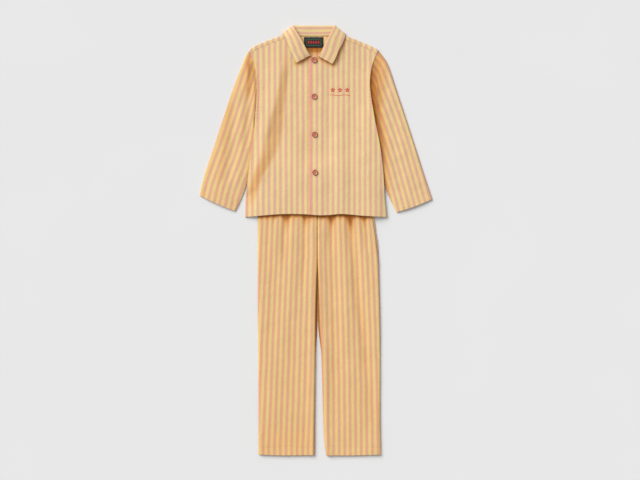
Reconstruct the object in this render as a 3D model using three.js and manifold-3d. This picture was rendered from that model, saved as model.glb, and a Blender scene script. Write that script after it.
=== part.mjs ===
// A child's pyjama set laid flat with its front up: a buttoned long-sleeved shirt, and trousers whose waist
// lies under it.
// Millimetres. +X to the wearer's left, +Y towards the collar, +Z up from the surface that the set lies on.
// Every cloth piece is a wall of its own, and the layers of each garment lie on each other.
import * as THREE from "three";
import { mergeVertices } from "three/addons/utils/BufferGeometryUtils.js";
import Module from "manifold-3d";

const wasm = await Module();
wasm.setup();

// Walls and gaps
const CLOTH = 1.5; // one layer of cloth, with its seam allowances pressed in
const COLLAR_CLOTH = 1.8; // upper and under collar with their interfacing
const BAND_CLOTH = 2.1; // waistband casing round its elastic
const SEAM_GAP = 0.3; // between pieces that are sewn together
const MOST_GAP = 3.6; // the most that a front stands clear of its back
const FOLD_RADIUS = 1.0; // middle of the wall, where a sleeve turns over at its sides

// Shirt
const SHOULDER_WRAP = 10; // the back comes this far over the shoulder, to a seam on the front
const SHOULDER_GAP = 0.9;
const UNDERARM_Y = 292;
const CENTRE_X = -4; // line of the buttons
const RIGHT_INNER_X = -30; // inside these two lines both fronts run straight down
const LEFT_INNER_X = 27;
const RIGHT_FRONT_EDGE_X = 10; // lies under the left front
const LEFT_FRONT_EDGE_X = -19;
const LAP = CLOTH + SEAM_GAP; // the left front rises this much to pass over the right one
const ARMHOLE_GAP = 2.2;
const ARMHOLE_STEPS = 11;
const SLEEVE_CLEARANCE = 0.6;
const FRONT_GAP = 2.1;

// What the shirt's back rises over
const TROUSER_LIFT = 6.6;
const SLEEVE_LIFT = 6.0;
const COLLAR_LIFT = 2.4;

// Trousers
const WAIST_TOP_Y = 156;
const WAIST_SEAM_Y = 126;
const TROUSER_GAP = 2.4;
const POCKET_BOTTOM_Y = -46;
const POCKET_INNER_X = 112; // how far the facing reaches under the front

// Buttons
const BUTTON_RADIUS = 7.1;
const BUTTON_HEIGHT = 2.6;
const BUTTON_SEGMENTS = 32;
const THREAD_HOLE_RADIUS = 0.9;
const THREAD_HOLE_OFFSET = 1.7;

// Columns of every table of points: x, y. Each runs from the hem upwards, unless its name says otherwise.
const BODY_SIDE_RIGHT = [
  [-177, 58], [-175, 106], [-171, 148], [-166, 188], [-160, 231], [-156, 263], [-153, 292],
];
const BODY_SIDE_LEFT = [
  [177, 58], [171.5, 106], [170, 138], [167, 183], [161, 231], [155, 263], [149, 292],
];
const ARMHOLE_RIGHT = [
  [-153, 292], [-150, 328], [-148, 360], [-148, 390], [-150, 418], [-155, 443], [-164.5, 466],
];
const ARMHOLE_LEFT = [
  [149, 292], [143, 325], [138, 357], [135, 388], [137, 418], [142.5, 444], [153, 467],
];
// The hem runs from the wearer's right to the left.
const SHIRT_HEM = [
  [-177, 58], [-147, 60.5], [-106, 64], [-76, 65.5], [-31, 65], [4, 62.5], [30, 62.8], [66, 65.5],
  [112, 61.5], [145, 59.5], [177, 58],
];
// Each shoulder runs from its sleeve to the neck, along the outline.
const SHOULDER_RIGHT = [[-168, 474], [-157, 483.5], [-138.5, 492.3], [-110, 503.5], [-72, 516]];
const SHOULDER_LEFT = [[157, 475], [140, 484.5], [110.5, 497], [88, 506], [64, 514]];
// Necklines run from the shoulder down to the centre front, and the back one from right to left.
const NECK_FRONT_RIGHT = [
  [-67.7, 506.5], [-62, 487], [-51, 473], [-35, 464.5], [-15, 461], [10, 460.5],
];
const NECK_FRONT_LEFT = [[59.7, 504.5], [54, 486], [44, 473], [30, 465], [9, 461.5], [-19, 461]];
const NECK_BACK = [[-72, 513], [-50, 509.5], [-5, 508.5], [40, 509.5], [64, 511]];

const SLEEVE_OUTER_RIGHT = [
  [-168.8, 472.5], [-176, 459], [-191.5, 421], [-208, 377], [-223, 332], [-238, 287], [-252.5, 242],
  [-268, 197], [-282, 152], [-291, 112],
];
const SLEEVE_INNER_RIGHT = [
  [-154, 291.5], [-156.5, 274], [-153, 254], [-153, 232], [-160, 193], [-171, 148], [-185.5, 106],
  [-201, 72.5],
];
const CUFF_RIGHT = [[-291, 112], [-247, 91], [-201, 72.5]];
const SLEEVE_OUTER_LEFT = [
  [158.5, 473], [176.5, 447], [187, 421], [201.5, 377], [224, 309], [246, 242], [267.5, 174],
  [291, 103],
];
const SLEEVE_INNER_LEFT = [
  [150, 291.5], [158, 276], [150, 254], [152, 226], [160, 182], [173, 133], [185, 103], [201, 70],
];
const CUFF_LEFT = [[291, 103], [245, 84], [201, 70]];

const TROUSER_SIDE_RIGHT = [
  [-143, -535], [-143, -444], [-144, -242], [-145, -172], [-145, 18], [-144, 56], [-136, 93],
  [-130, 125.5],
];
const TROUSER_SIDE_LEFT = [
  [162, -535], [160, -444], [160, -242], [157, -89], [155, -19], [150, 18], [145, 56], [138, 93],
  [131, 125.5],
];
const INSEAM_RIGHT = [
  [-4, -536], [-3, -399], [-1, -242], [0, -172], [2, -100], [3.2, -62], [3.4, 20], [3.4, 125.5],
];
const INSEAM_LEFT = [
  [26, -537], [21, -492], [18, -419], [14, -289], [9, -215], [6, -124], [4.2, -62], [4, 20],
  [4, 125.5],
];
// The left front is cut away at the pocket's mouth, where the facing shows beside it.
const FRONT_SIDE_LEFT = [
  [162, -535], [160, -444], [160, -242], [157, -89], [155, -50], [151, -18], [146, 22], [141, 52],
  [132, 92], [125, 125.5],
];
const LEG_HEM_RIGHT = [[-143, -535], [-80, -537], [-4, -536]];
const LEG_HEM_LEFT = [[26, -537], [90, -537], [162, -535]];

// Rows up the shirt's body below the armholes, close together where the back climbs.
const BODY_ROWS_Y = [86, 112, 138, 160, 174, 188, 202, 218, 236, 254, 272, 292];
// Columns from a side seam (0) to the inner line (1), close together where the back climbs.
const BODY_COLUMNS = [0, 0.06, 0.14, 0.24, 0.36, 0.52, 0.75, 1];
const SHOULDER_COLUMNS = 4;

// Folds: a soft ridge (height above 0) or trough from one point to another.
// Columns: x0, y0, x1, y1, width, height.
const SHIRT_FOLDS = [
  [-92, 445, -105, 338, 16, 1.5],
  [-105, 338, -135, 226, 18, 1.6],
  [-135, 226, -160, 122, 14, 1.4],
  [-73, 455, -82, 338, 12, -1.5],
  [-82, 338, -99, 226, 15, -1.8],
  [-99, 226, -141, 122, 14, -1.5],
  [-40, 300, -48, 90, 14, 0.8],
  [57, 330, 62, 190, 12, 0.9],
  [72, 320, 82, 90, 11, -1.2],
  [98, 250, 104, 80, 12, 1.0],
  [116, 410, 124, 190, 14, 0.9],
];
const SLEEVE_FOLDS_RIGHT = [
  [-172, 446, -176, 340, 9, -1.6],
  [-160, 430, -166, 320, 7, 1.0],
  [-186, 330, -222, 210, 11, -1.4],
  [-200, 330, -240, 200, 10, 1.2],
  [-180, 300, -196, 190, 9, 1.1],
  [-212, 205, -236, 120, 10, -0.9],
];
const SLEEVE_FOLDS_LEFT = [
  [160, 430, 152, 340, 9, -1.7],
  [172, 430, 168, 340, 8, 1.1],
  [152, 330, 172, 210, 9, -1.6],
  [176, 320, 200, 200, 10, 1.2],
  [196, 350, 226, 220, 10, -1.2],
  [214, 330, 246, 190, 10, 0.9],
  [200, 190, 222, 100, 10, -0.8],
];
// The waist's gathers are troughs that fade down the legs. Columns: x0, y0, x1, y1, width, height.
const GATHERS_RIGHT = [
  [-120, 130, -134, 28, 4.5, -1.8],
  [-98, 130, -106, 30, 4.5, -1.7],
  [-80, 130, -98, -80, 5, -2.2],
  [-66, 130, -70, 24, 4.5, -1.9],
  [-48, 130, -52, 34, 4.5, -1.6],
  [-30, 130, -48, -120, 5.5, -2.2],
  [-13, 130, -15, 24, 4.5, -1.7],
];
const GATHERS_LEFT = [
  [16, 130, 15, 34, 4.5, -1.7],
  [36, 130, 36.5, -70, 5, -2.4],
  [56, 130, 60, 34, 4.5, -1.6],
  [72, 130, 84, -50, 5, -2.1],
  [86, 130, 106, -140, 5.5, -2.2],
  [104, 130, 122, -30, 5, -1.9],
  [116, 130, 130, 26, 4.5, -1.6],
];
const LEG_FOLDS_RIGHT = [
  [-100, -60, -118, -300, 14, -1.2],
  [-70, -90, -84, -330, 14, 1.0],
  [-52, -200, -58, -430, 12, -1.0],
  [-24, -120, -22, -420, 10, 0.9],
  [-108, -330, -112, -500, 12, 0.8],
];
const LEG_FOLDS_LEFT = [
  [34, -80, 30, -260, 11, -1.4],
  [56, -60, 60, -300, 13, 1.0],
  [92, -110, 112, -330, 11, -1.5],
  [128, -60, 140, -300, 12, 0.9],
  [84, -300, 90, -480, 13, 0.9],
  [60, -330, 66, -500, 12, -0.8],
];

// Collar rails from the wearer's right front round the back of the neck to the left front.
// Columns: seam x, y, z; fold x, y, z; outer edge x, y, z. The seam joins the neckline, and the leaf turns
// over at the fold.
const COLLAR_STATIONS = [
  [-15.5, 462, 7.4, -14.5, 460, 11.2, -48.5, 443, 10.2],
  [-34, 466.5, 6.6, -24.5, 479, 13.2, -56, 459, 10.6],
  [-49, 475, 6.8, -35, 499, 14.2, -63, 473, 10.6],
  [-60, 489, 7.2, -46.5, 518, 13.2, -72.5, 494, 10.0],
  [-66.5, 504, 7.4, -55, 532.5, 9.8, -80, 509.5, 9.0],
  [-68, 511.5, 5.6, -57.5, 536, 5.4, -84, 517, 5.2],
  [-64, 514, 4.2, -54, 536.8, 2.5, -81, 518, 1.2],
  [-48, 511.5, 3.6, -42, 536.8, 2.15, -60, 508, 1.0],
  [-5, 510.2, 3.6, -5, 536.8, 2.15, -5, 502, 1.0],
  [38, 511.5, 3.6, 32, 536.8, 2.15, 50, 508, 1.0],
  [56, 513, 4.2, 43, 536.8, 2.5, 70.5, 517, 1.2],
  [60, 510, 5.6, 46.5, 536, 5.4, 72, 516, 5.2],
  [58.5, 502, 7.4, 44, 532.5, 9.8, 72, 507, 9.8],
  [52, 488, 7.2, 37, 518, 13.2, 65.5, 489.5, 11.6],
  [41.5, 475, 6.8, 26.5, 499, 14.2, 56.5, 472, 12.4],
  [27, 467, 7.2, 17, 479, 13.2, 49.5, 454, 12.6],
  [9.5, 462.5, 8.4, 6, 457, 11.8, 41.5, 439.5, 12.0],
];
const COLLAR_STEPS = 44;
const COLLAR_TURN_RADIUS = 1.2;

const LABEL = { x0: -30, x1: 18, y0: 481.5, y1: 507.5, thickness: 0.8, above: 0.35 };
// Columns: x, y of each button's middle.
const BUTTONS = [[-4.3, 450], [-4, 359], [-3, 264], [-2, 169]];

// Materials
const finish = (color, roughness) => new THREE.MeshStandardMaterial({ color, roughness, metalness: 0 });
const STRIPED_COTTON = finish("#e8bf93", 0.85);
const BLACK_LABEL = finish("#1b1a19", 0.8);
const BUTTON_RESIN = finish("#d9876a", 0.35);

const mix = THREE.MathUtils.lerp;
const ease = (low, high, value) => THREE.MathUtils.smoothstep(value, low, high);
const at = (x, y, z) => new THREE.Vector3(x, y, z);

// A smooth line through a table's points, read by its share of length.
function line(points) {
  const spline = new THREE.SplineCurve(points.map(([x, y]) => new THREE.Vector2(x, y)));
  return (share) => spline.getPointAt(share);
}

// The x of a table's line at a height y. The table's y rises or falls all the way.
function xAt(points, y) {
  const rising = points[0][1] < points[points.length - 1][1] ? points : [...points].reverse();
  const spline = new THREE.SplineCurve(rising.map(([x, py]) => new THREE.Vector2(x, py)));
  let [low, high] = [0, 1];
  for (let step = 0; step < 30; step++) {
    const middle = (low + high) / 2;
    if (spline.getPoint(middle).y < y) low = middle;
    else high = middle;
  }
  return spline.getPoint(low).x;
}

// The y of a table's line at a place x. The table's x rises.
const yAt = (points, x) => xAt(points.map(([px, py]) => [py, px]), x);

// Ridges and troughs at a point: a bell across each fold, faded at its ends.
function foldHeight(folds, x, y) {
  let height = 0;
  for (const [x0, y0, x1, y1, width, rise] of folds) {
    const [dx, dy] = [x1 - x0, y1 - y0];
    const length = Math.hypot(dx, dy);
    const along = ((x - x0) * dx + (y - y0) * dy) / length;
    const across = ((x - x0) * dy - (y - y0) * dx) / length;
    const share = along / length;
    const fade = ease(-0.12, 0.18, share) * (1 - ease(0.7, 1.1, share));
    height += rise * fade * Math.exp(-((across / width) ** 2));
  }
  return height;
}

// A closed wall from two matching grids of points, in rows. present says which cells of the grid there are,
// and round joins the last column to the first.
function wall(over, under, { round = false, present = () => true } = {}) {
  const rows = over.length;
  const columns = over[0].length;
  const wide = round ? columns : columns - 1;
  const positions = [...over.flat(), ...under.flat()].flatMap((p) => [p.x, p.y, p.z]);
  const overAt = (j, i) => j * columns + (i % columns);
  const underAt = (j, i) => rows * columns + overAt(j, i);
  const there = (j, i) => {
    if (j < 0 || j >= rows - 1) return false;
    if (!round && (i < 0 || i >= wide)) return false;
    return present(j, (i + wide) % wide);
  };
  const faces = [];
  const quad = (a, b, c, d) => faces.push(a, b, c, a, c, d);
  for (let j = 0; j < rows - 1; j++) {
    for (let i = 0; i < wide; i++) {
      if (!there(j, i)) continue;
      const corners = [[j, i], [j, i + 1], [j + 1, i + 1], [j + 1, i]];
      const [a, b, c, d] = corners.map(([r, s]) => overAt(r, s));
      const [e, f, g, h] = corners.map(([r, s]) => underAt(r, s));
      quad(a, b, c, d);
      quad(h, g, f, e);
      if (!there(j - 1, i)) quad(b, a, e, f);
      if (!there(j, i + 1)) quad(c, b, f, g);
      if (!there(j + 1, i)) quad(d, c, g, h);
      if (!there(j, i - 1)) quad(a, d, h, e);
    }
  }
  const geometry = new THREE.BufferGeometry();
  geometry.setAttribute("position", new THREE.Float32BufferAttribute(positions, 3));
  geometry.setIndex(signedVolume(positions, faces) < 0 ? faces.reverse() : faces);
  return geometry;
}

function signedVolume(positions, faces) {
  const corner = (n) => at(positions[3 * n], positions[3 * n + 1], positions[3 * n + 2]);
  let volume = 0;
  for (let n = 0; n < faces.length; n += 3) {
    const [a, b, c] = [corner(faces[n]), corner(faces[n + 1]), corner(faces[n + 2])];
    volume += a.dot(b.cross(c)) / 6;
  }
  return volume;
}

// A wall to both sides of a grid of middle points, along the grid's normals and never below the ground.
function wallAbout(middle, thickness, { round = false, present } = {}) {
  const rows = middle.length;
  const columns = middle[0].length;
  const columnAt = (i) => (round ? (i + columns) % columns : THREE.MathUtils.clamp(i, 0, columns - 1));
  const near = (j, i) => middle[j][columnAt(i)];
  const side = (sign) =>
    middle.map((row, j) =>
      row.map((p, i) => {
        const alongRow = near(j, i + 1).clone().sub(near(j, i - 1));
        const upRows = middle[Math.min(j + 1, rows - 1)][i].clone().sub(middle[Math.max(j - 1, 0)][i]);
        const normal = alongRow.cross(upRows).normalize();
        const moved = p.clone().addScaledVector(normal, (sign * thickness) / 2);
        moved.z = Math.max(moved.z, 0);
        return moved;
      }),
    );
  return wall(side(1), side(-1), { round, present });
}

// A panel whose lower face is given as a grid, with its upper face one thickness above it.
function layer(lower, thickness = CLOTH) {
  const upper = lower.map((row) => row.map((p) => at(p.x, p.y, p.z + thickness)));
  return wall(upper, lower);
}

// A point inside four edges that meet at their ends. Every edge is read by its share of length.
function between({ left, right, bottom, top }, u, v) {
  const [l, r, b, t] = [left(v), right(v), bottom(u), top(u)];
  const blend = (k) =>
    mix(l[k], r[k], u) +
    mix(b[k], t[k], v) -
    mix(mix(bottom(0)[k], bottom(1)[k], u), mix(top(0)[k], top(1)[k], u), v);
  return { x: blend("x"), y: blend("y") };
}

const straight = (a, b) => (share) => ({ x: mix(a.x, b.x, share), y: mix(a.y, b.y, share) });
const xy = ([x, y]) => ({ x, y });

// How far the shirt's back is lifted off the ground, by the trousers, the sleeves and the collar's under side.
function shirtLift(x, y) {
  const overTrousers = TROUSER_LIFT * ease(-184, -140, x) * ease(-192, -150, -x) * ease(-218, -160, -y);
  const [rightEdge, leftEdge] = [xAt(BODY_SIDE_RIGHT, y), xAt(BODY_SIDE_LEFT, y)];
  const fromEdge = Math.min(x - rightEdge, leftEdge - x);
  const sleeveRows = ease(-308, -274, -y) * ease(96, 136, y);
  const overSleeve = SLEEVE_LIFT * (1 - ease(16, 56, fromEdge)) * sleeveRows;
  const overCollar = COLLAR_LIFT * ease(440, 496, y) * ease(-128, -88, x) * ease(-118, -78, -x);
  return Math.max(overTrousers, overSleeve, overCollar);
}

// Where the shoulder is folded: the outline moved inwards, and the height of the front's lower face there.
const INWARD_RIGHT = new THREE.Vector2(43, -95).normalize();
const INWARD_LEFT = new THREE.Vector2(-41, -92).normalize();
const frontLevel = (x, y, gap) => shirtLift(x, y) + CLOTH + SEAM_GAP + gap;

// An armhole's points, evenly spaced from the underarm to the shoulder. The body and its sleeve share them.
const armholePoints = (right) => {
  const smooth = line(right ? ARMHOLE_RIGHT : ARMHOLE_LEFT);
  return Array.from({ length: ARMHOLE_STEPS + 1 }, (_, n) => smooth(n / ARMHOLE_STEPS));
};
const ARMHOLE_SHARES = Array.from({ length: ARMHOLE_STEPS + 1 }, (_, n) => n / ARMHOLE_STEPS);
const pointwise = (points) => (share) => points[Math.round(share * (points.length - 1))];
const endingAt = (points, end) => [...points.slice(0, -1), end];
const armholeGap = (share) =>
  0.2 + ARMHOLE_GAP * Math.sin(Math.PI * THREE.MathUtils.clamp(share, 0, 1)) ** 0.7;

// One row of the body below the armholes: x from a side seam to its inner line.
const sideColumns = (edgeX, innerX) => BODY_COLUMNS.map((share) => mix(edgeX, innerX, share));

// The rows of a body panel below the armholes. xsOf gives a row's x places at a height y.
function lowerRows(xsOf) {
  const hemY = (x) => yAt(SHIRT_HEM, THREE.MathUtils.clamp(x, -176.9, 176.9));
  const hem = xsOf(SHIRT_HEM[0][1]).map((x) => ({ x, y: hemY(x) }));
  return [hem, ...BODY_ROWS_Y.map((y) => xsOf(y).map((x) => ({ x, y })))];
}

function shirtBack() {
  const xsOf = (y) => [
    ...sideColumns(xAt(BODY_SIDE_RIGHT, y), RIGHT_INNER_X),
    CENTRE_X,
    ...sideColumns(xAt(BODY_SIDE_LEFT, y), LEFT_INNER_X).reverse(),
  ];
  const lower = lowerRows(xsOf);
  const columns = lower[0].length - 1;
  const inset = CLOTH / 2 + (CLOTH + SEAM_GAP + SHOULDER_GAP) / 2;
  const moved = (points, inward, by) => points.map(([x, y]) => [x + inward.x * by, y + inward.y * by]);
  const rightTop = line(moved(SHOULDER_RIGHT, INWARD_RIGHT, inset));
  const leftTop = line(moved([...SHOULDER_LEFT].reverse(), INWARD_LEFT, inset));
  const neck = line(NECK_BACK);
  const neckColumns = columns - 2 * SHOULDER_COLUMNS;
  const top = (u) => {
    const column = u * columns;
    if (column <= SHOULDER_COLUMNS) return rightTop(column / SHOULDER_COLUMNS);
    if (column >= columns - SHOULDER_COLUMNS) {
      return leftTop(Math.min(1, (column - columns + SHOULDER_COLUMNS) / SHOULDER_COLUMNS));
    }
    return neck((column - SHOULDER_COLUMNS) / neckColumns);
  };
  const bottomRow = lower[lower.length - 1];
  const edges = {
    left: pointwise(endingAt(armholePoints(true), top(0))),
    right: pointwise(endingAt(armholePoints(false), top(1))),
    bottom: (u) => bottomRow[Math.round(u * columns)],
    top,
  };
  const upper = ARMHOLE_SHARES.slice(1).map((v) => bottomRow.map((_, i) => between(edges, i / columns, v)));
  const middleOf = (p) => at(p.x, p.y, shirtLift(p.x, p.y) + CLOTH / 2);
  const flat = [...lower, ...upper].map((row) => row.map(middleOf));
  // The shoulders turn over to the front in a half round, and end in a strip that lies on it.
  const turn = [-45, 0, 45, 90].map(THREE.MathUtils.degToRad);
  const radius = (CLOTH + SEAM_GAP + SHOULDER_GAP) / 2;
  const last = flat[flat.length - 1];
  const wrapAt = (i, out, rise) => {
    const inward = i <= columns / 2 ? INWARD_RIGHT : INWARD_LEFT;
    return at(last[i].x - inward.x * out, last[i].y - inward.y * out, last[i].z + radius + rise);
  };
  const turnedRow = (angle) => {
    const [out, rise] = [radius * Math.cos(angle), radius * Math.sin(angle)];
    return last.map((_, i) => wrapAt(i, out, rise));
  };
  const wraps = turn.map(turnedRow);
  const strip = last.map((_, i) => wrapAt(i, -(SHOULDER_WRAP - inset), radius));
  const onShoulder = (i) => i < SHOULDER_COLUMNS || i >= columns - SHOULDER_COLUMNS;
  const present = (j, i) => j < flat.length - 1 || onShoulder(i);
  return wallAbout([...flat, ...wraps, strip], CLOTH, { present });
}

// One front. side is -1 for the wearer's right, which lies below, and 1 for the left, which laps over it.
function shirtFront(side) {
  const right = side < 0;
  const bodySide = right ? BODY_SIDE_RIGHT : BODY_SIDE_LEFT;
  const innerX = right ? RIGHT_INNER_X : LEFT_INNER_X;
  const middleXs = right ? [-17, CENTRE_X, RIGHT_FRONT_EDGE_X] : [11.5, CENTRE_X, LEFT_FRONT_EDGE_X];
  const xsOf = (y) => [...sideColumns(xAt(bodySide, y), innerX), ...middleXs];
  const lower = lowerRows(xsOf);
  const columns = lower[0].length - 1;
  const inward = right ? INWARD_RIGHT : INWARD_LEFT;
  const seamAt = SHOULDER_WRAP + SEAM_GAP;
  const outline = right ? SHOULDER_RIGHT : SHOULDER_LEFT;
  const seam = outline.map(([x, y]) => [x + inward.x * seamAt, y + inward.y * seamAt]);
  const shoulder = line(seam);
  const neck = line([seam[seam.length - 1], ...(right ? NECK_FRONT_RIGHT : NECK_FRONT_LEFT).slice(1)]);
  const bottomRow = lower[lower.length - 1];
  const top = (u) => {
    const column = u * columns;
    return column <= SHOULDER_COLUMNS
      ? shoulder(column / SHOULDER_COLUMNS)
      : neck(Math.min(1, (column - SHOULDER_COLUMNS) / (columns - SHOULDER_COLUMNS)));
  };
  const edges = {
    left: pointwise(endingAt(armholePoints(right), top(0))),
    right: straight(bottomRow[columns], top(1)),
    bottom: (u) => bottomRow[Math.round(u * columns)],
    top,
  };
  const upper = ARMHOLE_SHARES.slice(1).map((v) => bottomRow.map((_, i) => between(edges, i / columns, v)));
  const sewnRows = lower.length - 1; // rows at and below the underarm, where the side seam closes the edge
  const grid = [...lower, ...upper].map((row, j) =>
    row.map((p, i) => {
      const share = j > sewnRows ? ARMHOLE_SHARES[j - sewnRows] : 0;
      const edgeGap = j > sewnRows ? armholeGap(share) : 0;
      const open = THREE.MathUtils.clamp(FRONT_GAP + foldHeight(SHIRT_FOLDS, p.x, p.y), 0.3, MOST_GAP);
      const inside = mix(edgeGap, open, ease(0, 0.5, i < BODY_COLUMNS.length ? BODY_COLUMNS[i] : 1));
      const gap = mix(inside, SHOULDER_GAP, ease(0.55, 1, share) * (i <= columns / 2 ? 1 : 0.2));
      const lap = right ? 0 : LAP * (1 - ease(12, 27, p.x));
      return at(p.x, p.y, frontLevel(p.x, p.y, gap) + lap);
    }),
  );
  return { geometry: layer(grid), grid };
}

// A sleeve is a flattened tube. Each ring runs out along the front layer and back along the back layer,
// and turns over in a half round at both sides.
function sleeve(side) {
  const right = side < 0;
  const outerSide = line(right ? SLEEVE_OUTER_RIGHT : SLEEVE_OUTER_LEFT);
  const innerSide = line(right ? SLEEVE_INNER_RIGHT : SLEEVE_INNER_LEFT);
  const cuff = line(right ? CUFF_RIGHT : CUFF_LEFT);
  const folds = right ? SLEEVE_FOLDS_RIGHT : SLEEVE_FOLDS_LEFT;
  const clear = armholePoints(right).reverse().map(({ x, y }) => ({ x: x + side * SLEEVE_CLEARANCE, y }));
  clear[0] = outerSide(0);
  clear[clear.length - 1] = innerSide(0);
  const edges = { left: outerSide, right: innerSide, bottom: pointwise(clear), top: cuff };
  const acrossShares = ARMHOLE_SHARES.slice(1, -1);
  const lengthShares = [0, 0.06, 0.14, 0.23, 0.33, 0.43, 0.54, 0.65, 0.77, 0.89, 1];
  const rings = lengthShares.map((s) => {
    const start = at(between(edges, 0, s).x, between(edges, 0, s).y, 0);
    const end = at(between(edges, 1, s).x, between(edges, 1, s).y, 0);
    const inwards = end.clone().sub(start).normalize();
    const backZ = CLOTH / 2;
    const turned = (edge, direction, degrees) => {
      const angle = THREE.MathUtils.degToRad(degrees);
      const inset = CLOTH / 2 + FOLD_RADIUS * (1 - Math.cos(angle));
      const p = edge.clone().addScaledVector(direction, inset);
      p.z = backZ + FOLD_RADIUS * (1 + Math.sin(angle));
      return p;
    };
    const outwards = inwards.clone().negate();
    const rise = (w, p) => {
      const puff = ARMHOLE_GAP * Math.sin(Math.PI * w) ** 0.7;
      const folded = puff + foldHeight(folds, p.x, p.y) * Math.sin(Math.PI * w);
      return THREE.MathUtils.clamp(mix(puff, folded, ease(0, 0.1, s)), 0.05, MOST_GAP - 0.5);
    };
    const front = acrossShares.map((w) => {
      const p = between(edges, w, s);
      return at(p.x, p.y, backZ + 2 * FOLD_RADIUS + rise(w, p));
    });
    const onBack = (w) => at(between(edges, w, s).x, between(edges, w, s).y, backZ);
    const back = acrossShares.map(onBack).reverse();
    return [
      turned(start, inwards, 0),
      turned(start, inwards, 60),
      ...front,
      turned(end, outwards, 60),
      turned(end, outwards, 0),
      turned(end, outwards, -60),
      ...back,
      turned(start, inwards, -60),
    ];
  });
  return wallAbout(rings, CLOTH, { round: true });
}

// A one-piece collar: it stands up from the neck seam, turns over at the fold and lies back as a leaf.
function collar() {
  const rail = (first) => {
    const points = COLLAR_STATIONS.map((row) => at(row[first], row[first + 1], row[first + 2]));
    return new THREE.CatmullRomCurve3(points, false, "centripetal");
  };
  const [seam, fold, outer] = [rail(0), rail(3), rail(6)];
  const rows = [];
  for (let step = 0; step <= COLLAR_STEPS; step++) {
    const share = step / COLLAR_STEPS;
    const [s, f, e] = [seam.getPoint(share), fold.getPoint(share), outer.getPoint(share)];
    const standing = f.clone().sub(s).normalize();
    const along = fold.getTangent(share);
    const outward = standing.clone().cross(along).normalize();
    const turn = (out) => {
      const below = COLLAR_CLOTH / 2 + COLLAR_TURN_RADIUS * (1 - Math.sqrt(1 - out * out));
      return f.clone().addScaledVector(standing, -below).addScaledVector(outward, out * COLLAR_TURN_RADIUS);
    };
    const [standEnd, apex, leafStart] = [turn(-1), turn(0), turn(1)];
    const leaf = (share2) => leafStart.clone().lerp(e, share2);
    const stand = [s, s.clone().lerp(standEnd, 0.5), standEnd];
    rows.push([...stand, turn(-0.7), apex, turn(0.7), leafStart, leaf(0.35), leaf(0.7), e]);
  }
  return wallAbout(rows, COLLAR_CLOTH);
}

function label() {
  const { x0, x1, y0, y1, thickness, above } = LABEL;
  const rows = [0, 0.25, 0.5, 0.75, 1].map((v) =>
    [0, 0.5, 1].map((u) => {
      const [x, y] = [mix(x0, x1, u), mix(y0, y1, v)];
      return at(x, y, shirtLift(x, y) + CLOTH + above);
    }),
  );
  return layer(rows, thickness);
}

// A sewn-through button with a raised rim, a dished middle and four thread holes.
function button() {
  const [r, h] = [BUTTON_RADIUS, BUTTON_HEIGHT];
  const profile = [
    [0, 0], [r - 1.4, 0], [r, 1.0], [r, h - 0.6], [r - 0.7, h],
    [r - 1.7, h - 0.1], [r - 2.5, h - 1.0], [0, h - 1.2],
  ];
  const turned = new THREE.LatheGeometry(profile.map(([x, y]) => new THREE.Vector2(x, y)), BUTTON_SEGMENTS);
  turned.rotateX(Math.PI / 2);
  let solid = solidOf(turned);
  for (const [sx, sy] of [[1, 1], [-1, 1], [-1, -1], [1, -1]]) {
    const hole = new THREE.CylinderGeometry(THREAD_HOLE_RADIUS, THREAD_HOLE_RADIUS, 3 * h, 8);
    hole.rotateX(Math.PI / 2);
    hole.translate(sx * THREAD_HOLE_OFFSET, sy * THREAD_HOLE_OFFSET, 0);
    solid = solid.subtract(solidOf(hole));
  }
  return geometryOf(solid);
}

// A closed three.js mesh as a solid that can be cut.
function solidOf(geometry) {
  const bare = new THREE.BufferGeometry();
  bare.setAttribute("position", geometry.getAttribute("position"));
  if (geometry.index) bare.setIndex(geometry.index);
  const merged = mergeVertices(bare, 1e-4);
  const triVerts = [];
  const index = merged.index.array;
  for (let n = 0; n < index.length; n += 3) {
    const [a, b, c] = [index[n], index[n + 1], index[n + 2]];
    if (a !== b && b !== c && a !== c) triVerts.push(a, b, c);
  }
  if (signedVolume(merged.attributes.position.array, triVerts) < 0) triVerts.reverse();
  return new wasm.Manifold(
    new wasm.Mesh({
      numProp: 3,
      vertProperties: new Float32Array(merged.attributes.position.array),
      triVerts: new Uint32Array(triVerts),
    }),
  );
}

function geometryOf(solid) {
  const mesh = solid.getMesh();
  const geometry = new THREE.BufferGeometry();
  geometry.setAttribute("position", new THREE.Float32BufferAttribute(mesh.vertProperties, 3));
  geometry.setIndex(Array.from(mesh.triVerts));
  return geometry;
}

// A trouser panel over its own outline. levelOf gives its lower face from the share across and the place.
function trouserPanel(side, columns, rowShares, levelOf, leftSide = TROUSER_SIDE_LEFT) {
  const right = side < 0;
  const waist = right ? [[-130, 125.5], [3.4, 125.5]] : [[4, 125.5], leftSide[leftSide.length - 1]];
  const edges = {
    left: line(right ? TROUSER_SIDE_RIGHT : INSEAM_LEFT),
    right: line(right ? INSEAM_RIGHT : leftSide),
    bottom: line(right ? LEG_HEM_RIGHT : LEG_HEM_LEFT),
    top: straight(...waist.map(xy)),
  };
  const grid = rowShares.map((v) =>
    Array.from({ length: columns + 1 }, (_, i) => {
      const p = between(edges, i / columns, v);
      return at(p.x, p.y, levelOf(i / columns, p));
    }),
  );
  return layer(grid);
}

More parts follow.
